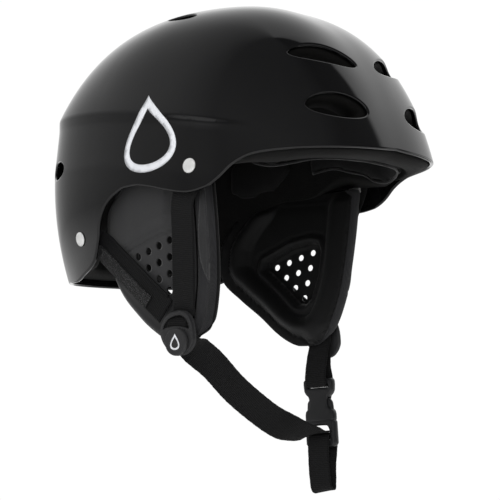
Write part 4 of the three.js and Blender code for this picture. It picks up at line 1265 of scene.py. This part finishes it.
def drop_loop(width, height, count=96):
    """Outline of a water drop, point up, about its own middle."""
    turns = np.linspace(0, 2 * math.pi, count, endpoint=False)
    u = np.sin(turns) * np.sin(turns / 2) ** 1.5
    v = np.cos(turns)
    u = u / np.abs(u).max() * width / 2
    return np.stack([u, v * height / 2], 1)


def cap_face(p, depth, side):
    """Places on the outer face of a divider's cap."""
    x = CAP_AT[0] + DIVIDER["cap_thick"] + depth - 0.12
    return np.stack([side * x, CAP_AT[1] + p[:, 0], CAP_AT[2] + p[:, 1]], 1)


def drop_mark(name, to_place, width, height, line, material, spacing):
    outer = drop_loop(width, height)
    inner = drop_loop(width - 2.1 * line, height - 3.1 * line) + (0, -0.42 * line)
    return plate(name, outer, [inner], 0.22, 0.02, to_place, material, spacing, bull=3, round_edge=0.5)


for side_name, side in SIDES:
    flap = f"flap_{side_name}"
    place(divider(f"divider_loop_{side_name}", side), flap, "buckle_plastic", f"divider_{side_name}")
    place(cap(f"divider_cap_face_{side_name}", side), f"cap_{side_name}", "buckle_plastic",
        f"divider_cap_{side_name}")
    mark = drop_mark(f"divider_cap_mark_{side_name}", lambda p, depth, s=side: cap_face(p, depth, s), 8.6,
        11.6, 1.25, PRINT, 0.5)
    place(mark, f"cap_{side_name}", "buckle_plastic")


# ---------------------------------------------------------------- printed mark on each side of the shell
def on_shell(p, depth, side):
    """Places on the shell for a drawing about the middle of its side, tilted back a little."""
    tilt = math.radians(-8)
    y = -8 + p[:, 0] * math.cos(tilt) - p[:, 1] * math.sin(tilt)
    z = 89.5 + p[:, 0] * math.sin(tilt) + p[:, 1] * math.cos(tilt)
    out = []
    for yy, zz, d in zip(y, z, depth):
        angle, height = drop_on_dome(np.array([side * 106.0, yy, zz]), np.array([side * 1.0, 0, 0]))
        out.append(dome_point(angle, height, -d)[0])
    return np.array(out)


for side_name, side in SIDES:
    mark = drop_mark(f"shell_mark_{side_name}", lambda p, depth, s=side: on_shell(p, depth, s), 49, 56, 5.0,
        PRINT, 1.6)
    place(mark, "helmet", "gloss_shell")


# ---------------------------------------------------------------- chin strap, buckle and tail
TILT = math.radians(BUCKLE["tilt"])
BUCKLE_U = np.array([0, -math.cos(TILT), math.sin(TILT)])
BUCKLE_V = np.array([0, math.sin(TILT), math.cos(TILT)])
BUCKLE_W = np.cross(BUCKLE_U, BUCKLE_V)
BUCKLE_AT = np.array([BUCKLE["x"], BUCKLE["y"], BUCKLE["top"]])


def buckle_point(u, v, w=0.0):
    return BUCKLE_AT + u * BUCKLE_U + v * BUCKLE_V + w * BUCKLE_W


def buckle_place(p, depth):
    return BUCKLE_AT + p[:, :1] * BUCKLE_U + p[:, 1:] * BUCKLE_V + depth[:, None] * BUCKLE_W


def both(points):
    return np.array([*points, *[(-u, v) for u, v in points[::-1]]], float)


def rectangle(u0, u1, v0, v1, corner=0.8):
    k = corner
    return np.array([(u0 + k, v0), (u1 - k, v0), (u1, v0 + k), (u1, v1 - k), (u1 - k, v1), (u0 + k, v1),
        (u0, v1 - k), (u0, v0 + k)])


def hollow(obj, low_corner, high_corner):
    """Cuts a box out of a piece, given in the buckle's own axes."""
    corners = [buckle_point(u, v, w) for u in (low_corner[0], high_corner[0])
        for v in (low_corner[1], high_corner[1]) for w in (low_corner[2], high_corner[2])]
    faces = [(0, 1, 3, 2), (4, 6, 7, 5), (0, 4, 5, 1), (2, 3, 7, 6), (0, 2, 6, 4), (1, 5, 7, 3)]
    cutter = face_out(make("cutter", corners, faces, PLASTIC))
    modifier = obj.modifiers.new("hollow", "BOOLEAN")
    modifier.operation = "DIFFERENCE"
    modifier.solver = "EXACT"
    modifier.object = cutter
    apply_modifiers(obj)
    bpy.data.objects.remove(cutter, do_unlink=True)
    return obj


def buckle_half(name, loop, hole, round_edge):
    """Half of the buckle, full in the middle and easing off towards the sides."""
    def face(p):
        return THICK * (1 - 0.10 * np.clip(np.abs(p[:, 0]) / 12, 0, 1) ** 2)
    return plate(name, loop, [hole], face, lambda p: -face(p), buckle_place, PLASTIC, 0.9, bull=6,
        round_edge=round_edge)


THICK = BUCKLE["thick"] / 2
FEMALE = both([(11.6, -0.2), (12.3, -1), (12.4, -4), (12.0, -8.4), (10.6, -10.6), (8.6, -12.2),
    (7.8, -14.4), (7.6, -18), (8.0, -20.8), (10.0, -22.8), (11.7, -24.4), (12.2, -26.6), (12.2, -30.6),
    (11.7, -31.2)])
female = buckle_half("buckle_female_body", FEMALE, rectangle(-10.8, 10.8, -7.0, -3.2, 0.9), 0.3)
hollow(female, (-10.7, -60, -2.4), (10.7, -13.5, 2.4))
place(female, "helmet", "buckle_plastic", "buckle_female")

MALE = both([(11.6, -31.6), (12.5, -32.4), (12.6, -48.6), (11.2, -50.3)])
loop_window = curved_loop([((-10.2, -46.6), (-10.6, -34.8)), ((-6, -34.0), (0, -33.3)),
    ((6, -34.0), (10.6, -34.8)), ((10.2, -46.6), (0, -47.4))], 8)
male = buckle_half("buckle_male_loop", MALE, loop_window, 0.35)
place(male, "buckle_half", "buckle_plastic", "buckle_male")
tongue = plate("buckle_male_tongue", rectangle(-2.4, 2.4, -32.6, -16, 1.2), [], 1.9, -1.9, buckle_place,
    PLASTIC, 0.9, bull=4, round_edge=0.4)
place(tongue, "buckle_half", "buckle_plastic")

PRONG = [(7.0, -32.8), (9.7, -32.8), (9.9, -31), (10.2, -27), (10.9, -22), (10.4, -17.6), (8.4, -14.8),
    (6.4, -15.6), (6.6, -22), (7.6, -27)]
for prong_name, sign in (("front", 1), ("rear", -1)):
    outline = np.array(PRONG, float) * (sign, 1)
    prong = plate(f"buckle_prong_arm_{prong_name}", outline, [], 1.9, -1.9, buckle_place, PLASTIC, 0.8,
        bull=5, round_edge=0.5)
    place(prong, f"prong_{prong_name}", "buckle_plastic", f"buckle_prong_{prong_name}")

LOOP = buckle_point(0, -39.6)
CHIN = [((-82.0, -24.2, -52), (0, -1, 0)), ((-80.0, -24.6, -57), (0.2, -1, 0.15)),
    ((-69, -24.8, -64), (0.6, -0.55, 0.55)), ((-52.5, -25.5, -73.2), (0.55, -0.36, 0.68)),
    ((-29, -26.5, -90.4), (0.55, -0.34, 0.70)), ((-4.5, -27.6, -104.6), (0.52, -0.32, 0.74)),
    ((19, -28.6, -115.8), (0.42, -0.3, 0.83)), ((42, -29.7, -122.6), (0.3, -0.7, 0.6)),
    (LOOP + (-16, 0.4, -1.4), (0.1, -0.85, 0.4)), (LOOP + (-6, 0, -0.4), (0, -1, 0.07)),
    (LOOP + (2.5, 0, 0), (0, -1, 0.07))]
near_half = webbing("chin_strap_near", CHIN, 160, 22, span=(0, 0.5), shift=0.5)
place_blend(near_half, "flap_right", "helmet", (-78, -25, -60), (-14, -27, -103), "webbing", "chin_strap")
far_half = webbing("chin_strap_far", CHIN, 160, 22, span=(0.5, 1), shift=0.5)
place_blend(far_half, "helmet", "buckle_half", (2, -28, -110), (62, -30, -126), "webbing", "chin_strap")

BAR = buckle_point(0, -1.7)
UPRIGHT = (0, 1, -0.07)
STUB = [((BUCKLE["x"] + x, BAR[1] + y, BAR[2] + z), UPRIGHT) for x, y,
    z in ((5.2, 2.2, 37), (3.8, 1.8, 30), (0.4, 1.4, 22), (-3.0, 0.7, 12), (-4.9, 0.1, 2),
    (-3.6, -0.1, -3.2), (0, -0.1, -3.3), (4.0, -0.1, -2.6), (4.9, 0.1, 2), (2.8, 0.5, 11), (3.6, 1.2, 21),
    (6.2, 1.8, 30), (7.4, 2.2, 36))]
stub = webbing("stub_strap_web", STUB, 110, 19.4)
place_blend(stub, "flap_left", "helmet", (75, -26, -58), (75, -27, -80), "webbing", "stub_strap")

SLOT = buckle_point(0, -41.4)
TAIL = [((SLOT[0] + x, SLOT[1] + y, SLOT[2] + z), (0, 1, slant)) for x, y, z,
    slant in ((1.0, 0, 0, -0.05), (-3.6, -0.1, -0.2, -0.05), (-5.6, -0.4, -4.2, -0.05),
    (-6.0, -0.9, -17, -0.08), (-5.6, -1.6, -31, -0.16), (-3.4, -2.3, -41.6, -0.2), (0.4, -2.6, -42.8, -0.2),
    (1.8, -2.2, -37, -0.18), (2.8, -1.4, -24, -0.08), (5.2, -0.8, -11.5, -0.05), (5.6, -0.5, -4.5, -0.05),
    (3.2, -0.3, 0.2, -0.05))]
tail = webbing("strap_tail_web", TAIL, 140, 19.4)
place(tail, "buckle_half", "webbing", "strap_tail")

# ---------------------------------------------------------------- floor, light and camera
FILL = dict(at=(-1.3, -0.9, 0.75), aim=(0, -0.02, 0.05), size=1.3, power=26)
# Brightness of the surround by azimuth from the front, in degrees, and by the sine of the elevation.
AROUND = [(-180, 0.75), (-140, 0.5), (-118, 0.24), (-60, 0.24), (-15, 0.2), (15, 0.09), (56, 0.09),
    (60, 0.95), (80, 1.25), (140, 1.25), (180, 0.75)]
UPWARDS = [(-1, 1.3), (-0.12, 1.1), (0.0, 0.55), (0.22, 0.75), (0.5, 1.05), (0.9, 0.62), (1, 0.55)]
AZIMUTH, BELOW = math.radians(52), math.radians(4)
DISTANCE = 1.35


def fill_light():
    """Soft light from the camera's side that lifts matt surfaces but stays out of reflections."""
    light = bpy.data.lights.new("fill", "AREA")
    light.shape = "RECTANGLE"
    light.size = light.size_y = FILL["size"]
    light.energy = FILL["power"]
    obj = bpy.data.objects.new("fill", light)
    obj.location = FILL["at"]
    obj.rotation_euler = (Vector(FILL["aim"]) - Vector(FILL["at"])).to_track_quat("-Z", "Y").to_euler()
    bpy.context.scene.collection.objects.link(obj)
    obj.visible_camera = False
    obj.visible_glossy = False


def studio_world():
    """Soft studio surround: bright behind and to the wearer's left, dimmer on the camera's side.

    The camera itself sees plain white.
    """
    world = bpy.data.worlds.new("studio")
    bpy.context.scene.world = world
    world.use_nodes = True
    tree = world.node_tree
    where = node(tree, "ShaderNodeTexCoord")
    parts = node(tree, "ShaderNodeSeparateXYZ")
    tree.links.new(where.outputs["Generated"], parts.inputs["Vector"])
    forward = math_node(tree, "MULTIPLY", parts.outputs["Y"], -1.0)
    azimuth = math_node(tree, "ARCTAN2", parts.outputs["X"], forward)
    around = grey_stops(tree, ranged(tree, azimuth, 0, 1, -math.pi, math.pi),
        [((degrees + 180) / 360, grey) for degrees, grey in AROUND])
    upwards = grey_stops(tree, ranged(tree, parts.outputs["Z"], 0, 1, -1, 1),
        [((z + 1) / 2, grey) for z, grey in UPWARDS], 0.7)
    product = node(tree, "ShaderNodeMix", data_type="RGBA", blend_type="MULTIPLY")
    product.inputs["Factor"].default_value = 1
    tree.links.new(around, product.inputs[6])
    tree.links.new(upwards, product.inputs[7])
    lit = node(tree, "ShaderNodeBackground", Strength=1.45)
    tree.links.new(product.outputs[2], lit.inputs["Color"])
    white = tree.nodes["Background"]
    white.inputs["Color"].default_value = (1, 1, 1, 1)
    white.inputs["Strength"].default_value = 1.02
    path = node(tree, "ShaderNodeLightPath")
    either = node(tree, "ShaderNodeMixShader")
    tree.links.new(path.outputs["Is Camera Ray"], either.inputs["Fac"])
    tree.links.new(lit.outputs["Background"], either.inputs[1])
    tree.links.new(white.outputs["Background"], either.inputs[2])
    tree.links.new(either.outputs["Shader"], tree.nodes["World Output"].inputs["Surface"])


def pale_floor():
    bpy.ops.mesh.primitive_circle_add(vertices=96, radius=1.12, fill_type="NGON", location=(0, 0, -0.25))
    floor = bpy.context.object
    floor.name = "floor"
    floor.data.materials.append(surface("floor", (0.86, 0.86, 0.86), 0.6,
        ((0.004, 3), (0.84, 0.84, 0.84), (0.88, 0.88, 0.88))))


def studio_camera():
    """Camera at the photograph's angle, a little below the helmet."""
    target = Vector((0, -0.019, 0.012))
    back = Vector((-math.sin(AZIMUTH) * math.cos(BELOW), -math.cos(AZIMUTH) * math.cos(BELOW),
        -math.sin(BELOW)))
    camera = bpy.data.objects.new("camera", bpy.data.cameras.new("camera"))
    bpy.context.scene.collection.objects.link(camera)
    camera.location = target + back * DISTANCE
    camera.rotation_euler = (-back).to_track_quat("-Z", "Y").to_euler()
    camera.data.lens = 131.04
    camera.data.sensor_width = 36
    camera.data.clip_end = 50
    bpy.context.scene.camera = camera


studio_world()
pale_floor()
fill_light()
studio_camera()
bpy.context.scene.view_settings.view_transform = "Standard"
